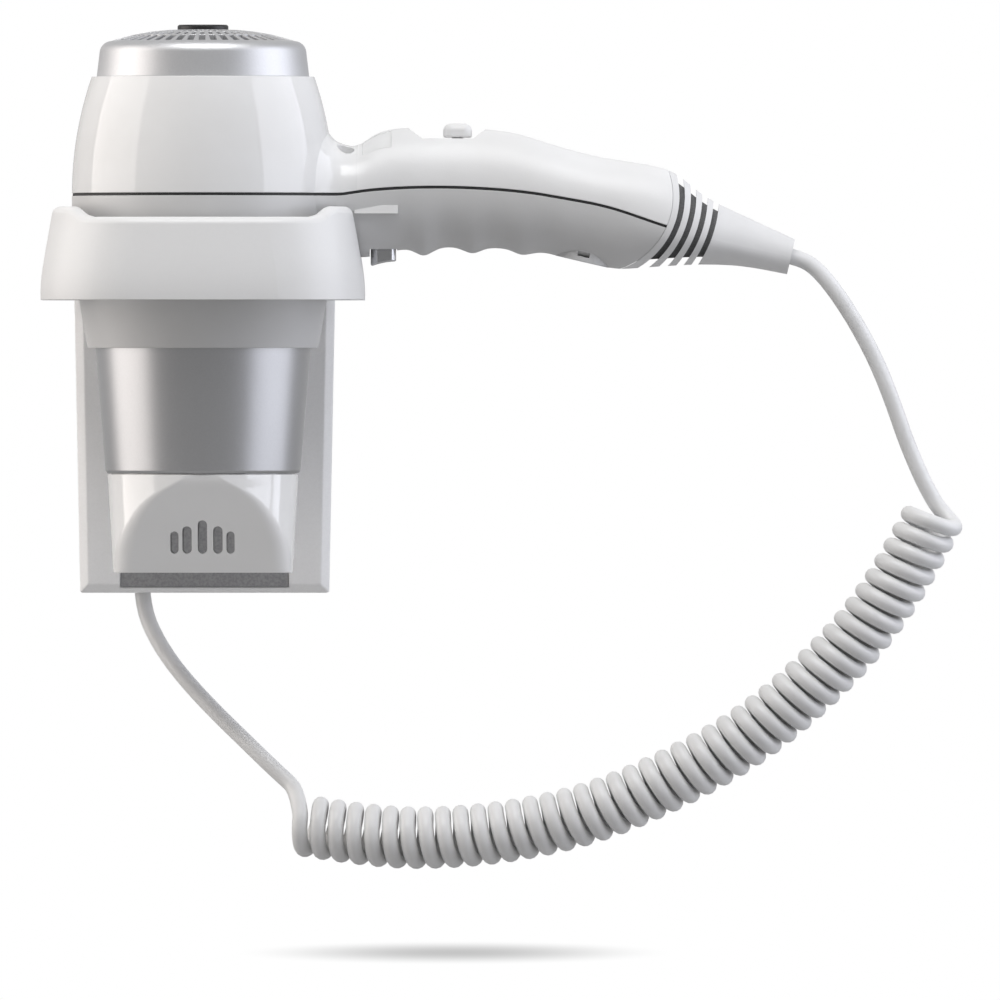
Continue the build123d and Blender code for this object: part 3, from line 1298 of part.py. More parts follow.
def collar_rim(solid):
    """Outer edges along the collar's top."""
    rim_z = COLLAR_Z + COLLAR_H - COLLAR_DIP - SEAT_GAP
    core = collar_body(0.3 * COLLAR_WALL, -HOLDER_DEPTH - 0.3 * COLLAR_BACK, 2.0)
    high = [edge for edge in solid.edges() if edge.bounding_box().min.Z > rim_z]
    return [edge for edge in high if not core.is_inside(edge @ 0.5)]


def holder_collar():
    solid = collar_body(0.0, -HOLDER_DEPTH)
    solid -= collar_body(COLLAR_WALL, -HOLDER_DEPTH - COLLAR_BACK, 2.0)
    solid -= collar_dip()
    solid -= collar_notch()
    solid = fillet(collar_rim(solid), COLLAR_ROUND)
    for x, z in collar_screw_places():
        solid -= rod_y(SMALL_SHANK_R + SHAFT_FIT, (-HOLDER_DEPTH - COLLAR_BACK + 0.4, 0), x, z)
    return solid


def collar_screws():
    seat = cover_inside_y()
    length = HOLDER_DEPTH + seat + COLLAR_BACK - 0.8
    shape = Rot(-90, 0, 0) * screw(SMALL_HEAD_R, SMALL_HEAD_H, SMALL_SHANK_R, length)
    return [Pos(x, seat, z) * shape for x, z in collar_screw_places()]


NODES = {
    "wall_plate": wall_plate,
    "holder_cover": holder_cover,
    "holder_collar": holder_collar,
    "terminal_cover": terminal_cover,
    "terminal_cover_screws": terminal_cover_screws,
    "cover_screws": cover_screws,
    "collar_screws": collar_screws,
    "terminal_block": terminal_block,
    "terminal_screws": terminal_screws,
    "cord_grommet": cord_grommet,
    "holder_cord_clamp": holder_cord_clamp,
    "holder_clamp_screws": holder_clamp_screws,
    "holder_cord_tail": holder_cord_tail,
    "holder_leads": holder_leads,
    "cord_lower": lambda: route_tube("cord_lower", LOWER_ROUTE),
    "cord_coil": cord_coil,
    "cord_upper": lambda: route_tube("cord_upper", UPPER_ROUTE),
    "rear_housing": rear_housing,
    "front_housing": front_housing,
    "housing_seal": housing_seal,
    "housing_screws": housing_screws,
    "intake_cap": intake_cap,
    "centre_disc": centre_disc,
    "intake_filter": intake_filter,
    "nozzle_ring": nozzle_ring,
    "outlet_grille": outlet_grille,
    "nozzle_tip": nozzle_tip,
    "fan_duct": fan_duct,
    "motor_can": motor_can,
    "motor_screws": motor_screws,
    "motor_magnets": motor_magnets,
    "motor_end_cap": motor_end_cap,
    "motor_brushes": motor_brushes,
    "motor_bushes": motor_bushes,
    "rotor_shaft": rotor_shaft,
    "armature": armature,
    "commutator": commutator,
    "fan": fan,
    "mica_sleeve": mica_sleeve,
    "mica_board_wide": lambda: mica_board(0.0, True),
    "mica_board_cross": lambda: mica_board(90.0, False),
    "heater_wire": heater_wire,
    "thermostat": thermostat,
    "thermal_fuse": thermal_fuse,
    "slide_switch": slide_switch,
    "switch_screws": switch_screws,
    "switch_knob": switch_knob,
    "push_switch": push_switch,
    "push_button": push_button,
    "button_spring": button_spring,
    "suppressor_capacitor": capacitor,
    "motor_leads": motor_leads,
    "heater_leads": heater_leads,
    "handle_leads": handle_leads,
    "handle_cord_clamp": cord_clamp,
    "handle_clamp_screws": cord_clamp_screws,
    "dryer_cord_tail": dryer_cord_tail,
    "cord_boot": cord_boot,
    "boot_core": boot_core,
}

os.makedirs("parts", exist_ok=True)
for name, make in NODES.items():
    made = make()
    shape = Compound(children=list(made)) if isinstance(made, list) else made
    export_step(shape, os.path.join("parts", name + ".step"))
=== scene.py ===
# %% [markdown]
# # A wall-mounted hair dryer with a curly cord
# The dryer hangs nozzle-down in a flared wall holder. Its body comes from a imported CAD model, so
# this lesson doesn't model the housing again: it loads the parts as a fixed frame, winds the curly
# cord and one small spring as smooth tubes, gives each part a finish, and sets up the light and the
# camera. Everything is in metres, with the wall at Y = 0, the object towards -Y and +Z up.

# %% Load the frame
import math

import bpy
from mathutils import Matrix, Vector


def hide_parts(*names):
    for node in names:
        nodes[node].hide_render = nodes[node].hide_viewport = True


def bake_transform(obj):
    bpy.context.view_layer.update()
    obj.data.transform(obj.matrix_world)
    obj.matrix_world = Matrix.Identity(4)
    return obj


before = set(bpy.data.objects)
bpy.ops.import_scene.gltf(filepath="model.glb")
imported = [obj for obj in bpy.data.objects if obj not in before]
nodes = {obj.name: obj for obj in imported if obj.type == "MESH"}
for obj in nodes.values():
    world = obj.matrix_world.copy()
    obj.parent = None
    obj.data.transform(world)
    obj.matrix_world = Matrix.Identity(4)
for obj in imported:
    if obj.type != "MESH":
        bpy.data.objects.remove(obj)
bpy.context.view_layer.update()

MM = 0.001
bpy.ops.object.select_all(action="DESELECT")

# %% [markdown]
# ## The camera
# The photograph is a level front view with hardly any perspective, as a product photographer gets
# from far away with a long lens. An orthographic camera would do for the front, but a perspective
# one with a very long lens works for every other view as well. One pixel of the thousand is 0.35 mm
# at the barrel's axis. The camera stands a little higher than the middle of the picture, near the
# level of the collar, whose underside the photograph hides.

# %% Long-lens camera
PIXEL = 0.35 * MM
FRAME_W = 1000 * PIXEL
LENS = 1.0
SENSOR = 0.036
CLIP_END = 100
AXIS_Y = -68.0 * MM
VIEW_X = 103.95 * MM
VIEW_Z = -37.8 * MM
CAMERA_Z = 10.0 * MM

distance = FRAME_W * LENS / SENSOR
tilt = math.atan2(CAMERA_Z - VIEW_Z, distance)
bpy.ops.object.camera_add(location=(VIEW_X, AXIS_Y - distance, CAMERA_Z),
                          rotation=(math.radians(90) - tilt, 0, 0))
camera = bpy.context.object
camera.name = "front_camera"
camera.data.sensor_width = SENSOR / MM
camera.data.lens = LENS / MM
camera.data.clip_end = CLIP_END
bpy.context.scene.camera = camera
print("camera", round(distance, 2), "m away")

# %% [markdown]
# ## The curly cord
# A curly cord is one wire wound on a mandrel and set by heat, with a plain stretch at each end. It
# could be a helix from an add-on, but a real one hangs in an arc, so the helix has to follow a bent
# axis. The axis is a NURBS spline through a few points, its points are read back as a mesh, and the
# turns are wound round them. The turns then become points of the cord's own spline, which runs in
# one piece from the holder to the boot.

# %% Route of the cord, in millimetres
LOWER_ROUTE = [(-21.9, -8.0, -70.7), (-21.3, -8.4, -77.0), (-17.8, -11.5, -85.5),
               (-12.0, -15.5, -94.8), (-4.3, -20.5, -104.0), (4.6, -26.0, -113.2),
               (13.7, -31.5, -121.9), (22.0, -36.3, -129.9), (28.2, -39.6, -135.6)]
CURL_ROUTE = [(34.6, -44.0, -152.0), (60.0, -48.5, -156.2), (86.0, -52.5, -156.4),
              (113.0, -56.0, -153.3), (139.0, -59.5, -146.8), (165.0, -62.5, -135.4),
              (190.0, -65.5, -121.5), (212.0, -68.0, -103.6), (231.5, -70.5, -83.2),
              (246.0, -72.5, -62.0), (255.9, -74.0, -43.1)]
UPPER_ROUTE = [(205.8, -68.0, 47.4), (209.7, -68.0, 46.5), (214.7, -68.0, 43.3),
               (221.1, -67.9, 35.8), (228.7, -67.7, 24.1), (235.7, -67.3, 10.9),
               (241.3, -66.8, -3.0), (246.1, -66.6, -17.2), (251.6, -66.5, -30.1),
               (254.0, -66.4, -34.6)]
CORD_D = 5.6
CURL_R = 8.2
CURL_TURNS = 41 + 150 / 360
CURL_START = math.radians(60)
POINTS_PER_TURN = 16
AXIS_STEPS = 24
TUBE_STEPS = 3
print("route of", len(LOWER_ROUTE) + len(CURL_ROUTE) + len(UPPER_ROUTE), "points")


# %% Splines through points
def nurbs_curve(name, points):
    """Curve object of one smooth open spline with the points, in millimetres, as its controls."""
    data = bpy.data.curves.new(name, "CURVE")
    data.dimensions = "3D"
    spline = data.splines.new("NURBS")
    spline.points.add(len(points) - 1)
    for point, place in zip(spline.points, points):
        point.co = (*[value * MM for value in place], 1)
    spline.order_u = 3
    spline.use_endpoint_u = True
    curve = bpy.data.objects.new(name, data)
    bpy.context.scene.collection.objects.link(curve)
    return curve


def read_points(curve, steps):
    """Points along a curve's spline, in metres."""
    curve.data.resolution_u = steps
    mesh = bpy.data.meshes.new_from_object(curve)
    points = [vertex.co.copy() for vertex in mesh.vertices]
    bpy.data.meshes.remove(mesh)
    return points


axis_curve = nurbs_curve("curl_axis", CURL_ROUTE)
axis_points = read_points(axis_curve, AXIS_STEPS)
bpy.data.objects.remove(axis_curve)
lengths = [0.0]
for before, after in zip(axis_points, axis_points[1:]):
    lengths.append(lengths[-1] + (after - before).length)
print("axis", round(lengths[-1], 3), "m")


# %% Wind the turns round the axis
def on_axis(share):
    """Point and direction of the axis at a share of its length."""
    place = share * lengths[-1]
    i = max(k for k in range(len(lengths) - 1) if lengths[k] <= place)
    step = axis_points[i + 1] - axis_points[i]
    return axis_points[i] + step * ((place - lengths[i]) / step.length), step.normalized()


FORWARD = Vector((0, -1, 0))
count = round(CURL_TURNS * POINTS_PER_TURN)
drawn_in = math.cos(math.pi / POINTS_PER_TURN)  # the spline cuts inside its control points by this
turns = []
for k in range(count + 1):
    middle, along = on_axis(k / count)
    angle = CURL_START + 2 * math.pi * CURL_TURNS * k / count
    front = FORWARD - along * along.dot(FORWARD)
    front.normalize()
    up = front.cross(along)
    out = up * math.cos(angle) + front * math.sin(angle)
    turns.append(middle / MM + out * (CURL_R / drawn_in))
print("turns", round(CURL_TURNS, 1))


# %% [markdown]
# The spline of the whole cord gets a round bevel and is turned into a mesh, because a cord that
# stretches when the dryer is lifted has to be a mesh.

# %% One tube from the gland to the boot
def run_on(route):
    """Point one cord's width past the end of a route."""
    last, before = Vector(route[-1]), Vector(route[-2])
    return last + (last - before).normalized() * CORD_D


def tube_mesh(curve, diameter):
    """Turns a curve into the mesh of a closed round tube; the diameter is in millimetres."""
    curve.data.bevel_depth = diameter / 2 * MM
    curve.data.bevel_resolution = 5
    curve.data.use_fill_caps = True
    bpy.context.view_layer.objects.active = curve
    curve.select_set(True)
    bpy.ops.object.convert(target="MESH")
    tube = bpy.context.object
    tube.select_set(False)
    return tube


cord_line = [Vector(p) for p in LOWER_ROUTE] + [run_on(LOWER_ROUTE)] + turns
cord_line += [run_on(UPPER_ROUTE)] + [Vector(p) for p in reversed(UPPER_ROUTE)]
cord = nurbs_curve("curly_cord", cord_line)
cord_path = read_points(cord, TUBE_STEPS)
cord = tube_mesh(cord, CORD_D)

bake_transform(cord)
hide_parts("cord_lower", "cord_coil", "cord_upper")

# %% [markdown]
# ## The return spring
# The push button stands on a coil spring that shortens when it is pressed. It is wound like the
# cord.

# %% Spring of the push button, in millimetres
SPRING_X = 63.15
SPRING_Z = (54.8, 65.55)
SPRING_R = 3.0
SPRING_WIRE = 0.7
SPRING_TURNS = 5

spring_line = []
spring_steps = SPRING_TURNS * POINTS_PER_TURN
for k in range(spring_steps + 1):
    angle = 2 * math.pi * k / POINTS_PER_TURN
    height = SPRING_Z[0] + (SPRING_Z[1] - SPRING_Z[0]) * k / spring_steps
    side = Vector((math.cos(angle), math.sin(angle), 0)) * (SPRING_R / drawn_in)
    spring_line.append(Vector((SPRING_X, AXIS_Y / MM, height)) + side)
spring = nurbs_curve("return_spring", spring_line)
spring.data.resolution_u = TUBE_STEPS
spring = tube_mesh(spring, SPRING_WIRE)
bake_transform(spring)
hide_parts("button_spring")
print("spring", len(spring.data.polygons), "faces")


# %% [markdown]
# ## Shader maths in Python
# Node trees are easier to read as sums than as boxes and wires. A small class wraps a socket, so
# that adding or multiplying two sockets makes the Math node for it, and one method makes any other
# node.

# %% Sockets that take operators
class Value:
    """An output socket on which Python's operators make Math nodes."""

    def __init__(self, look, socket):
        self.look = look
        self.socket = socket

    def math(self, operation, first, second):
        return self.look.add("ShaderNodeMath", {"operation": operation}, {0: first, 1: second})

    def __add__(self, other):
        return self.math("ADD", self, other)

    def __radd__(self, other):
        return self.math("ADD", other, self)

    def __sub__(self, other):
        return self.math("SUBTRACT", self, other)

    def __rsub__(self, other):
        return self.math("SUBTRACT", other, self)

    def __mul__(self, other):
        return self.math("MULTIPLY", self, other)

    def __rmul__(self, other):
        return self.math("MULTIPLY", other, self)

    def __truediv__(self, other):
        return self.math("DIVIDE", self, other)

    def __rtruediv__(self, other):
        return self.math("DIVIDE", other, self)

    def __lt__(self, other):
        return self.math("LESS_THAN", self, other)

    def __gt__(self, other):
        return self.math("GREATER_THAN", self, other)


# %% Materials made of nodes
class Look:
    """One material, or the world, and the nodes that make it."""

    def __init__(self, name, owner=None):
        self.owner = owner or bpy.data.materials.new(name)
        self.owner.use_nodes = True
        self.tree = self.owner.node_tree
        self.tree.nodes.clear()

    def add(self, kind, settings=None, inputs=None, output=0):
        """New node of a kind, with its settings made first and then its sockets set or linked."""
        node = self.tree.nodes.new(kind)
        for key, value in (settings or {}).items():
            setattr(node, key, value)
        for key, value in (inputs or {}).items():
            if isinstance(value, Value):
                self.tree.links.new(value.socket, node.inputs[key])
            else:
                node.inputs[key].default_value = value
        return Value(self, node.outputs[output]) if node.outputs else None

    def place(self):
        """Object coordinates."""
        return self.add("ShaderNodeTexCoord", output="Object")

    def parts(self, vector):
        """X, Y and Z of a vector."""
        split = self.add("ShaderNodeSeparateXYZ", inputs={0: vector})
        return [Value(self, socket) for socket in split.socket.node.outputs]

    def noise(self, size, detail, vector=None):
        """Noise around 0.5 with patches of about a size in metres."""
        where = vector or self.place()
        return self.add("ShaderNodeTexNoise", {},
                        {"Vector": where, "Scale": 1 / size, "Detail": detail})

    def around(self, middle, noise, spread):
        """A middle value, moved up and down by a share of a noise."""
        return middle + (noise - 0.5) * spread

    def ramp(self, value, low, high):
        """0 below low, 1 above high and smooth between."""
        return self.add("ShaderNodeMapRange", {"interpolation_type": "SMOOTHSTEP"},
                        {"Value": value, "From Min": low, "From Max": high})

    def mix(self, factor, first, second):
        """Mix of two colours."""
        return self.add("ShaderNodeMix", {"data_type": "RGBA"},
                        {"Factor": factor, 6: first, 7: second}, output=2)

    def bump(self, height, depth, normal=None):
        """Surface normal for a height that is a share of a depth in metres."""
        inputs = {"Height": height, "Distance": depth, "Strength": 1.0}
        if normal:
            inputs["Normal"] = normal
        return self.add("ShaderNodeBump", {}, inputs)

    def soft_edges(self, radius):
        """Surface normal that rounds sharp edges by a radius in metres."""
        return self.add("ShaderNodeBevel", {"samples": 6}, {"Radius": radius})

    def surface(self, **inputs):
        """Principled shader with these sockets; underscores stand for spaces."""
        named = {key.replace("_", " "): value for key, value in inputs.items()}
        shader = self.add("ShaderNodeBsdfPrincipled", {}, named)
        self.add("ShaderNodeOutputMaterial", {}, {"Surface": shader})
        return self.owner


# %% Colours and where they go
NEUTRAL = (1, 1, 1)


def tinted(shade, tint=NEUTRAL):
    """Colour of a shade, with a factor for each channel."""
    return (*[shade * channel for channel in tint], 1)


def finish_nodes(material, names):
    """Puts one material on several CAD nodes."""
    for name in names:
        nodes[name].data.materials.clear()
        nodes[name].data.materials.append(material)
    print(material.name, "on", len(names))


# %% [markdown]
# ## Gloss white housing
# The upper half of the barrel is gloss white plastic, polished in the mould, with a slight
# orange-peel ripple. The handle and the whole lower half have a satin grain that gives a grip. The
# lower half also gets a greyer white, as painted shade for the shadow under the collar and under
# the handle. One function serves both: the share of satin is either one everywhere or grows with
# the distance from the barrel.

# %% Housing plastic
WHITE = tinted(0.78)
CREAM = (0.745, 0.743, 0.74, 1)
# Painted shade: the lower half's greyer white stands in for the shadow under the collar and the
# handle.
PAINTED_SHADE_WHITE = tinted(0.62)
PAINTED_SHADE_WARM = (0.60, 0.599, 0.596, 1)
GLOSS_ROUGH = 0.06
SATIN_ROUGH = 0.40
PEEL_DEPTH = 0.005 * MM
GRAIN_HEIGHT = 3.5  # of the satin grain, in depths of the ripple
HANDLE_ROOT = (46 * MM, 60 * MM)
LEFT_OF_ALL = (-1.0, -0.9)


def housing_plastic(name, satin_x, light, dark):
    look = Look(name)
    x = look.parts(look.place())[0]
    satin = look.ramp(x, *satin_x)
    patches = look.noise(size=30 * MM, detail=3)
    grain = look.noise(size=0.6 * MM, detail=2)
    peel = look.noise(size=6 * MM, detail=1)
    rough = GLOSS_ROUGH + satin * (SATIN_ROUGH - GLOSS_ROUGH)
    height = peel * (1 - satin) + grain * satin * GRAIN_HEIGHT
    return look.surface(Base_Color=look.mix(look.ramp(patches, 0.35, 0.75), light, dark),
                        Roughness=look.around(rough, patches, spread=0.04),
                        Normal=look.bump(height, PEEL_DEPTH, look.soft_edges(0.4 * MM)))


finish_nodes(housing_plastic("housing_gloss", HANDLE_ROOT, WHITE, CREAM), ["rear_housing"])
finish_nodes(housing_plastic("knob_satin", LEFT_OF_ALL, WHITE, CREAM), ["switch_knob"])
finish_nodes(housing_plastic("housing_painted_shade", LEFT_OF_ALL, PAINTED_SHADE_WHITE, PAINTED_SHADE_WARM),
             ["front_housing"])


# %% [markdown]
# The concentrator is given a whiter white than the housing, as painted light for its front face,
# which slopes down and away from the lamps. It is polished as well. A low roughness alone would
# mirror the lights, so a clear coat over a slightly rougher base gives crisp reflections on top of
# soft ones.

# %% Concentrator plastic
# Painted light: these whites are lighter than the housing's to brighten the downward face of the
# tip.
TIP_PAINTED_LIGHT_WHITE = tinted(0.94)
TIP_PAINTED_LIGHT_CREAM = (0.91, 0.908, 0.90, 1)
TIP_ROUGH = 0.12
TIP_COAT = 0.7


def tip_plastic():
    look = Look("tip_painted_light")
    patches = look.noise(size=22 * MM, detail=3)
    peel = look.noise(size=7 * MM, detail=1)
    return look.surface(Base_Color=look.mix(patches, TIP_PAINTED_LIGHT_WHITE, TIP_PAINTED_LIGHT_CREAM),
                        Roughness=look.around(TIP_ROUGH, patches, spread=0.04),
                        Coat_Weight=TIP_COAT,
                        Normal=look.bump(peel, PEEL_DEPTH, look.soft_edges(0.5 * MM)))


finish_nodes(tip_plastic(), ["nozzle_tip"])


# %% [markdown]
# ## Grained holder
# The wall box has a fine spark-eroded grain that hides finger marks, so it looks matte beside the
# dryer. The collar is the same plastic, polished a little smoother. The wall box is given a much
# lighter white than the collar, as painted light that makes up for the shade the dryer and the
# collar cast on it.

# %% Holder plastic
def holder_plastic(name, shade, mottle, depth, rough, edge):
    look = Look(name)
    grain = look.noise(size=0.5 * MM, detail=4)
    pits = look.noise(size=1.3 * MM, detail=2)
    patches = look.noise(size=35 * MM, detail=2)
    height = grain * 0.6 + pits * 0.4
    colour = look.mix(look.ramp(height, 0.35, 0.65), tinted(shade - mottle), tinted(shade + mottle))
    return look.surface(Base_Color=colour, Roughness=look.around(rough, patches, spread=0.1),
                        Normal=look.bump(height, depth, look.soft_edges(edge)))


# Painted light: the wall box's shade is lighter than the collar's to make up for the shadow on it.
holder_grain_painted_light = holder_plastic("holder_grain_painted_light", shade=0.95, mottle=0.02, depth=0.03 * MM,
                                rough=0.55, edge=1.2 * MM)
collar_satin = holder_plastic("collar_satin", shade=0.75, mottle=0.004, depth=0.003 * MM,
                              rough=0.38, edge=0.4 * MM)
finish_nodes(holder_grain_painted_light, ["wall_plate", "holder_cover"])
finish_nodes(collar_satin, ["holder_collar"])


# %% [markdown]
# ## Silver paint
# The heat shield ring, the intake cap and the push button are plastic with a metallic silver coat:
# metal flakes in a satin lacquer. The flakes are too small to model, so they are a fine noise that
# changes how bright the coat is.

# %% Silver finish
SILVER_TINT = (1, 1.005, 1.025)
FLAKE_SPREAD = 0.05


def silver_paint(name, shade, rough):
    look = Look(name)
    flake = look.noise(size=0.7 * MM, detail=2)
    patches = look.noise(size=30 * MM, detail=2)
    dim = tinted(shade * (1 - FLAKE_SPREAD), SILVER_TINT)
    lit = tinted(shade * (1 + FLAKE_SPREAD), SILVER_TINT)
    return look.surface(Base_Color=look.mix(flake, dim, lit), Metallic=0.9,
                        Roughness=look.around(rough, patches, spread=0.03),
                        Normal=look.soft_edges(0.4 * MM))


finish_nodes(silver_paint("ring_silver", shade=0.48, rough=0.36), ["nozzle_ring"])
finish_nodes(silver_paint("cap_silver", shade=0.59, rough=0.47), ["intake_cap"])
finish_nodes(silver_paint("button_silver", shade=0.55, rough=0.24), ["push_button"])


# %% [markdown]
# ## Dark plastic and rubber
# The seal between the two halves, the centre disc, the panel behind the nozzle and the core of the
# boot are dark grey; the core's dark grey is painted shade for the shadow deep in the boot's
# grooves. One function with a grain of its own size and depth serves for all of them, and for the
# black plastic inside.

# %% Dark finishes
DARK_TINT = (0.85, 0.85, 0.87)
LIGHT_TINT = (1.15, 1.15, 1.17)


def dark_plastic(name, shade, rough, grain_size, depth):
    look = Look(name)
    grain = look.noise(size=grain_size, detail=3)
    patches = look.noise(size=20 * MM, detail=3)
    colour = look.mix(look.ramp(grain, 0.3, 0.7), tinted(shade, DARK_TINT),
                      tinted(shade, LIGHT_TINT))
    return look.surface(Base_Color=colour, Roughness=look.around(rough, patches, spread=0.12),
                        Normal=look.bump(grain, depth, look.soft_edges(0.3 * MM)))


DARK_FINISHES = {
    "panel_grey": (0.30, 0.6, 0.9 * MM, 0.09 * MM, ["terminal_cover"]),
    "disc_black": (0.008, 0.42, 0.8 * MM, 0.01 * MM, ["centre_disc"]),
    "seal_grey": (0.025, 0.6, 0.6 * MM, 0.02 * MM, ["housing_seal"]),
    # Painted shade: the boot's core is dark grey for the shadow in the grooves between its ribs.
    "groove_shade_grey": (0.15, 0.65, 0.6 * MM, 0.03 * MM, ["boot_core"]),
    "duct_black": (0.025, 0.5, 0.8 * MM, 0.02 * MM,
                   ["fan_duct", "fan", "intake_filter", "outlet_grille", "motor_end_cap",
                    "slide_switch", "push_switch"]),
}
for name, (shade, rough, grain_size, depth, names) in DARK_FINISHES.items():
    finish_nodes(dark_plastic(name, shade, rough, grain_size, depth), names)


# %% [markdown]
# ## Soft white
# The boot is a soft white elastomer, and the cord a white PVC with a faint sheen and a few smears
# from handling.

# %% Boot and cord
SOFT_ROUGH = 0.38


def soft_white(name, light, dark):
    look = Look(name)
    grain = look.noise(size=0.5 * MM, detail=2)
    smears = look.noise(size=12 * MM, detail=4)
    height = grain * 0.5 + smears * 0.5
    return look.surface(Base_Color=look.mix(look.ramp(smears, 0.35, 0.7), light, dark),
                        Roughness=look.around(SOFT_ROUGH, smears, spread=0.15),
                        Normal=look.bump(height, 0.02 * MM))


boot_white = soft_white("boot_white", (0.73, 0.73, 0.732, 1), (0.70, 0.70, 0.702, 1))
cord_white = soft_white("cord_white", (0.76, 0.76, 0.758, 1), (0.71, 0.71, 0.708, 1))
finish_nodes(boot_white, ["cord_boot", "cord_grommet"])
finish_nodes(cord_white, ["holder_cord_tail", "dryer_cord_tail", "cord_lower", "cord_coil",
                          "cord_upper"])
cord.data.materials.append(cord_white)


# %% [markdown]
# ## Metal and inner parts
# Most inner parts never show, but the part is used in other scenes, cut open or taken apart, so
# each gets the finish of the real thing: drawn steel, brass, mica board, sintered magnets and wire
# insulation.

# %% Metals
METAL_ROUGH = 0.3
DRAWN_ALONG_Z = (1, 1, 0.04)
SPOT_SHADE = 0.8


def drawn_metal(name, colour):
    look = Look(name)
    lines = look.add("ShaderNodeMapping", {}, {"Vector": look.place(), "Scale": DRAWN_ALONG_Z})
    streaks = look.noise(size=0.5 * MM, detail=3, vector=lines)
    spots = look.noise(size=6 * MM, detail=3)
    shade = look.mix(look.ramp(spots, 0.4, 0.8), tinted(1, colour), tinted(SPOT_SHADE, colour))
    return look.surface(Base_Color=shade, Metallic=1.0,
                        Roughness=look.around(METAL_ROUGH, streaks, spread=0.2),
                        Normal=look.bump(streaks, 0.006 * MM))


drawn_steel = drawn_metal("drawn_steel", (0.60, 0.60, 0.61))
plain_brass = drawn_metal("plain_brass", (0.72, 0.53, 0.24))
finish_nodes(drawn_steel,
             ["terminal_cover_screws", "cover_screws", "collar_screws", "holder_clamp_screws",
              "housing_screws", "motor_can", "motor_screws", "rotor_shaft", "armature",
              "heater_wire", "thermostat", "thermal_fuse", "switch_screws", "button_spring",
              "handle_clamp_screws"])
finish_nodes(plain_brass, ["terminal_screws", "motor_bushes", "commutator"])
spring.data.materials.append(drawn_steel)


# %% Mica, magnets, wire and hidden plastic
def mottled(name, light, dark, rough, size):
    look = Look(name)
    patches = look.noise(size, detail=5)
    return look.surface(Base_Color=look.mix(look.ramp(patches, 0.35, 0.7), light, dark),
                        Roughness=look.around(rough, patches, spread=0.2),
                        Normal=look.bump(patches, 0.03 * MM))


mica_board = mottled("mica_board", (0.62, 0.55, 0.40, 1), (0.48, 0.41, 0.28, 1),
                     rough=0.4, size=4 * MM)
sintered = mottled("sintered", (0.10, 0.10, 0.105, 1), (0.06, 0.06, 0.065, 1),
                   rough=0.7, size=1 * MM)
lead_insulation = mottled("lead_insulation", (0.70, 0.70, 0.69, 1), (0.60, 0.60, 0.59, 1),
                          rough=0.45, size=6 * MM)
hidden_plastic = mottled("hidden_plastic", (0.70, 0.70, 0.69, 1), (0.64, 0.64, 0.63, 1),
                         rough=0.5, size=10 * MM)
finish_nodes(mica_board, ["mica_sleeve", "mica_board_wide", "mica_board_cross",
                          "suppressor_capacitor"])
finish_nodes(sintered, ["motor_magnets", "motor_brushes"])
finish_nodes(lead_insulation, ["holder_leads", "motor_leads", "heater_leads", "handle_leads"])
finish_nodes(hidden_plastic, ["terminal_block", "holder_cord_clamp", "handle_cord_clamp"])


# %% [markdown]
# ## Light and floor
# The gloss barrel shows its lights: a tall softbox to each side, seen as two bright bands, and a
# darker studio in front. An area lamp for each softbox gives those reflections, one high in front
# gives the shadow under the collar and the bright top of the handle, and the world is paler behind
# and above than in front. Only the camera sees it as plain white.

# %% World
FRONT_GLOW = 0.125
BACK_GLOW = 0.32
TOP_GLOW = 0.14
MIRROR_GLOW = 0.13
MIRROR_BACK_LOSS = 0.04


def studio_world():
    world = bpy.data.worlds.new("studio")
    bpy.context.scene.world = world
    look = Look("studio", world)
    y, z = look.parts(look.add("ShaderNodeTexCoord", output="Generated"))[1:]
    behind = look.ramp(y, -0.2, 0.9)
    above = look.ramp(z, 0.0, 0.9)
    paths = look.add("ShaderNodeLightPath").socket.node.outputs
    camera_ray, glossy_ray, clear_ray = [
        Value(look, paths[f"Is {kind} Ray"]) for kind in ("Camera", "Glossy", "Transmission")]
    dim = FRONT_GLOW + behind * BACK_GLOW + above * TOP_GLOW
    mirrored = (glossy_ray + clear_ray) * (MIRROR_GLOW - behind * MIRROR_BACK_LOSS)
    strength = (dim + mirrored) * (1 - camera_ray) + camera_ray
    light = look.add("ShaderNodeBackground", {}, {"Color": tinted(1), "Strength": strength})
    look.add("ShaderNodeOutputWorld", {}, {"Surface": light})
    print("world", world.name, "from", FRONT_GLOW, "to", FRONT_GLOW + BACK_GLOW + TOP_GLOW)


studio_world()


# %% Lamps
def softbox(name, place, aim, size, power, colour):
    bpy.ops.object.light_add(type="AREA", location=place)
    lamp = bpy.context.object
    lamp.name = name
    lamp.data.shape = "RECTANGLE"
    lamp.data.size, lamp.data.size_y = size
    lamp.data.energy = power
    lamp.data.color = colour
    lamp.rotation_euler = (Vector(aim) - Vector(place)).to_track_quat("-Z", "Y").to_euler()
    lamp.select_set(False)
    print(name, power, "W")


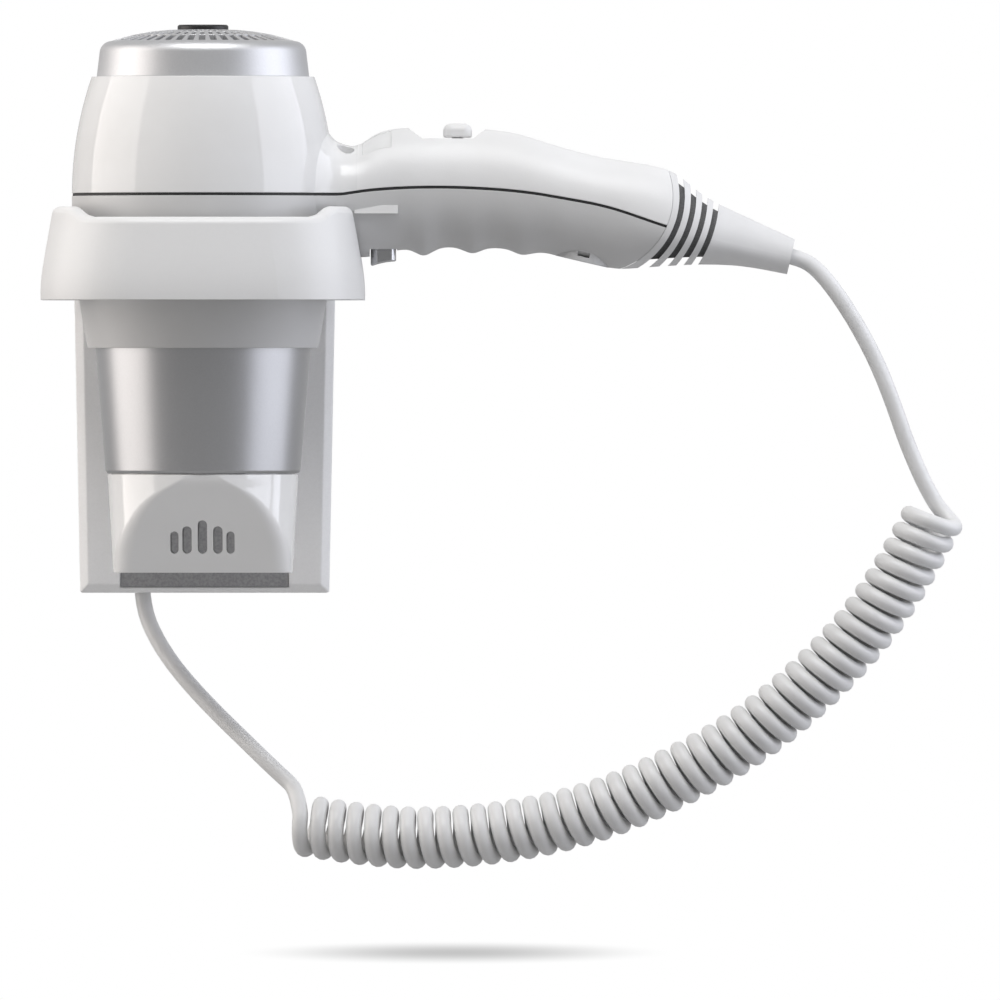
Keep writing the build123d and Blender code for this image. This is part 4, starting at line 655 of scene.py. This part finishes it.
softbox("left_softbox", place=(-1.0, -0.13, 0.25), aim=(0, -0.13, 0.25), size=(1.0, 1.4),
        power=10.2, colour=(1.0, 0.94, 0.895))
softbox("right_softbox", place=(1.3, -0.30, 0.30), aim=(0, -0.30, 0.30), size=(1.35, 1.5),
        power=14.2, colour=(0.89, 0.91, 1.0))
softbox("top_softbox", place=(0.05, -0.72, 1.27), aim=(0.05, -0.07, 0), size=(1.2, 0.7),
        power=14.5, colour=NEUTRAL)

# %% [markdown]
# The floor is as white as the background, with one soft oval shadow below the cord. The shadow is
# painted in the floor's material, as a retoucher does it, and only the camera sees that paint.

# %% Floor
FLOOR_Z = -196.2 * MM
FLOOR_SIZE = 3
FLOOR_SHADE = 0.40
SHADOW_X = 88.0 * MM
SHADOW_SIZE = (78.0 * MM, 205.0 * MM)
SHADOW_SHADE = 0.56


def pale_floor():
    look = Look("pale_floor")
    x, y = look.parts(look.place())[:2]
    across, deep = (x - (SHADOW_X - VIEW_X)) / SHADOW_SIZE[0], y / SHADOW_SIZE[1]
    away = across * across + deep * deep
    inside = (1 - away) * (away < 1)
    camera_ray = look.add("ShaderNodeLightPath", output="Is Camera Ray")
    shade = look.mix(inside * inside, tinted(1), tinted(SHADOW_SHADE))
    seen = look.add("ShaderNodeEmission", {}, {"Color": shade, "Strength": 1.0})
    dull = look.add("ShaderNodeBsdfDiffuse", {}, {"Color": tinted(FLOOR_SHADE)})
    both = look.add("ShaderNodeMixShader", {}, {0: camera_ray, 1: dull, 2: seen})
    look.add("ShaderNodeOutputMaterial", {}, {"Surface": both})
    return look.owner


bpy.ops.mesh.primitive_grid_add(size=FLOOR_SIZE, x_subdivisions=4, y_subdivisions=4,
                                location=(VIEW_X, AXIS_Y, FLOOR_Z))
floor = bpy.context.object
floor.name = "pale_floor"
floor.data.materials.append(pale_floor())
floor.select_set(False)
print("floor at", round(FLOOR_Z, 4), "m")

# %% [markdown]
# ## Last settings
# The Standard view transform shows a colour as it is written.

# %% View
bpy.context.scene.view_settings.view_transform = "Standard"
bpy.context.view_layer.update()
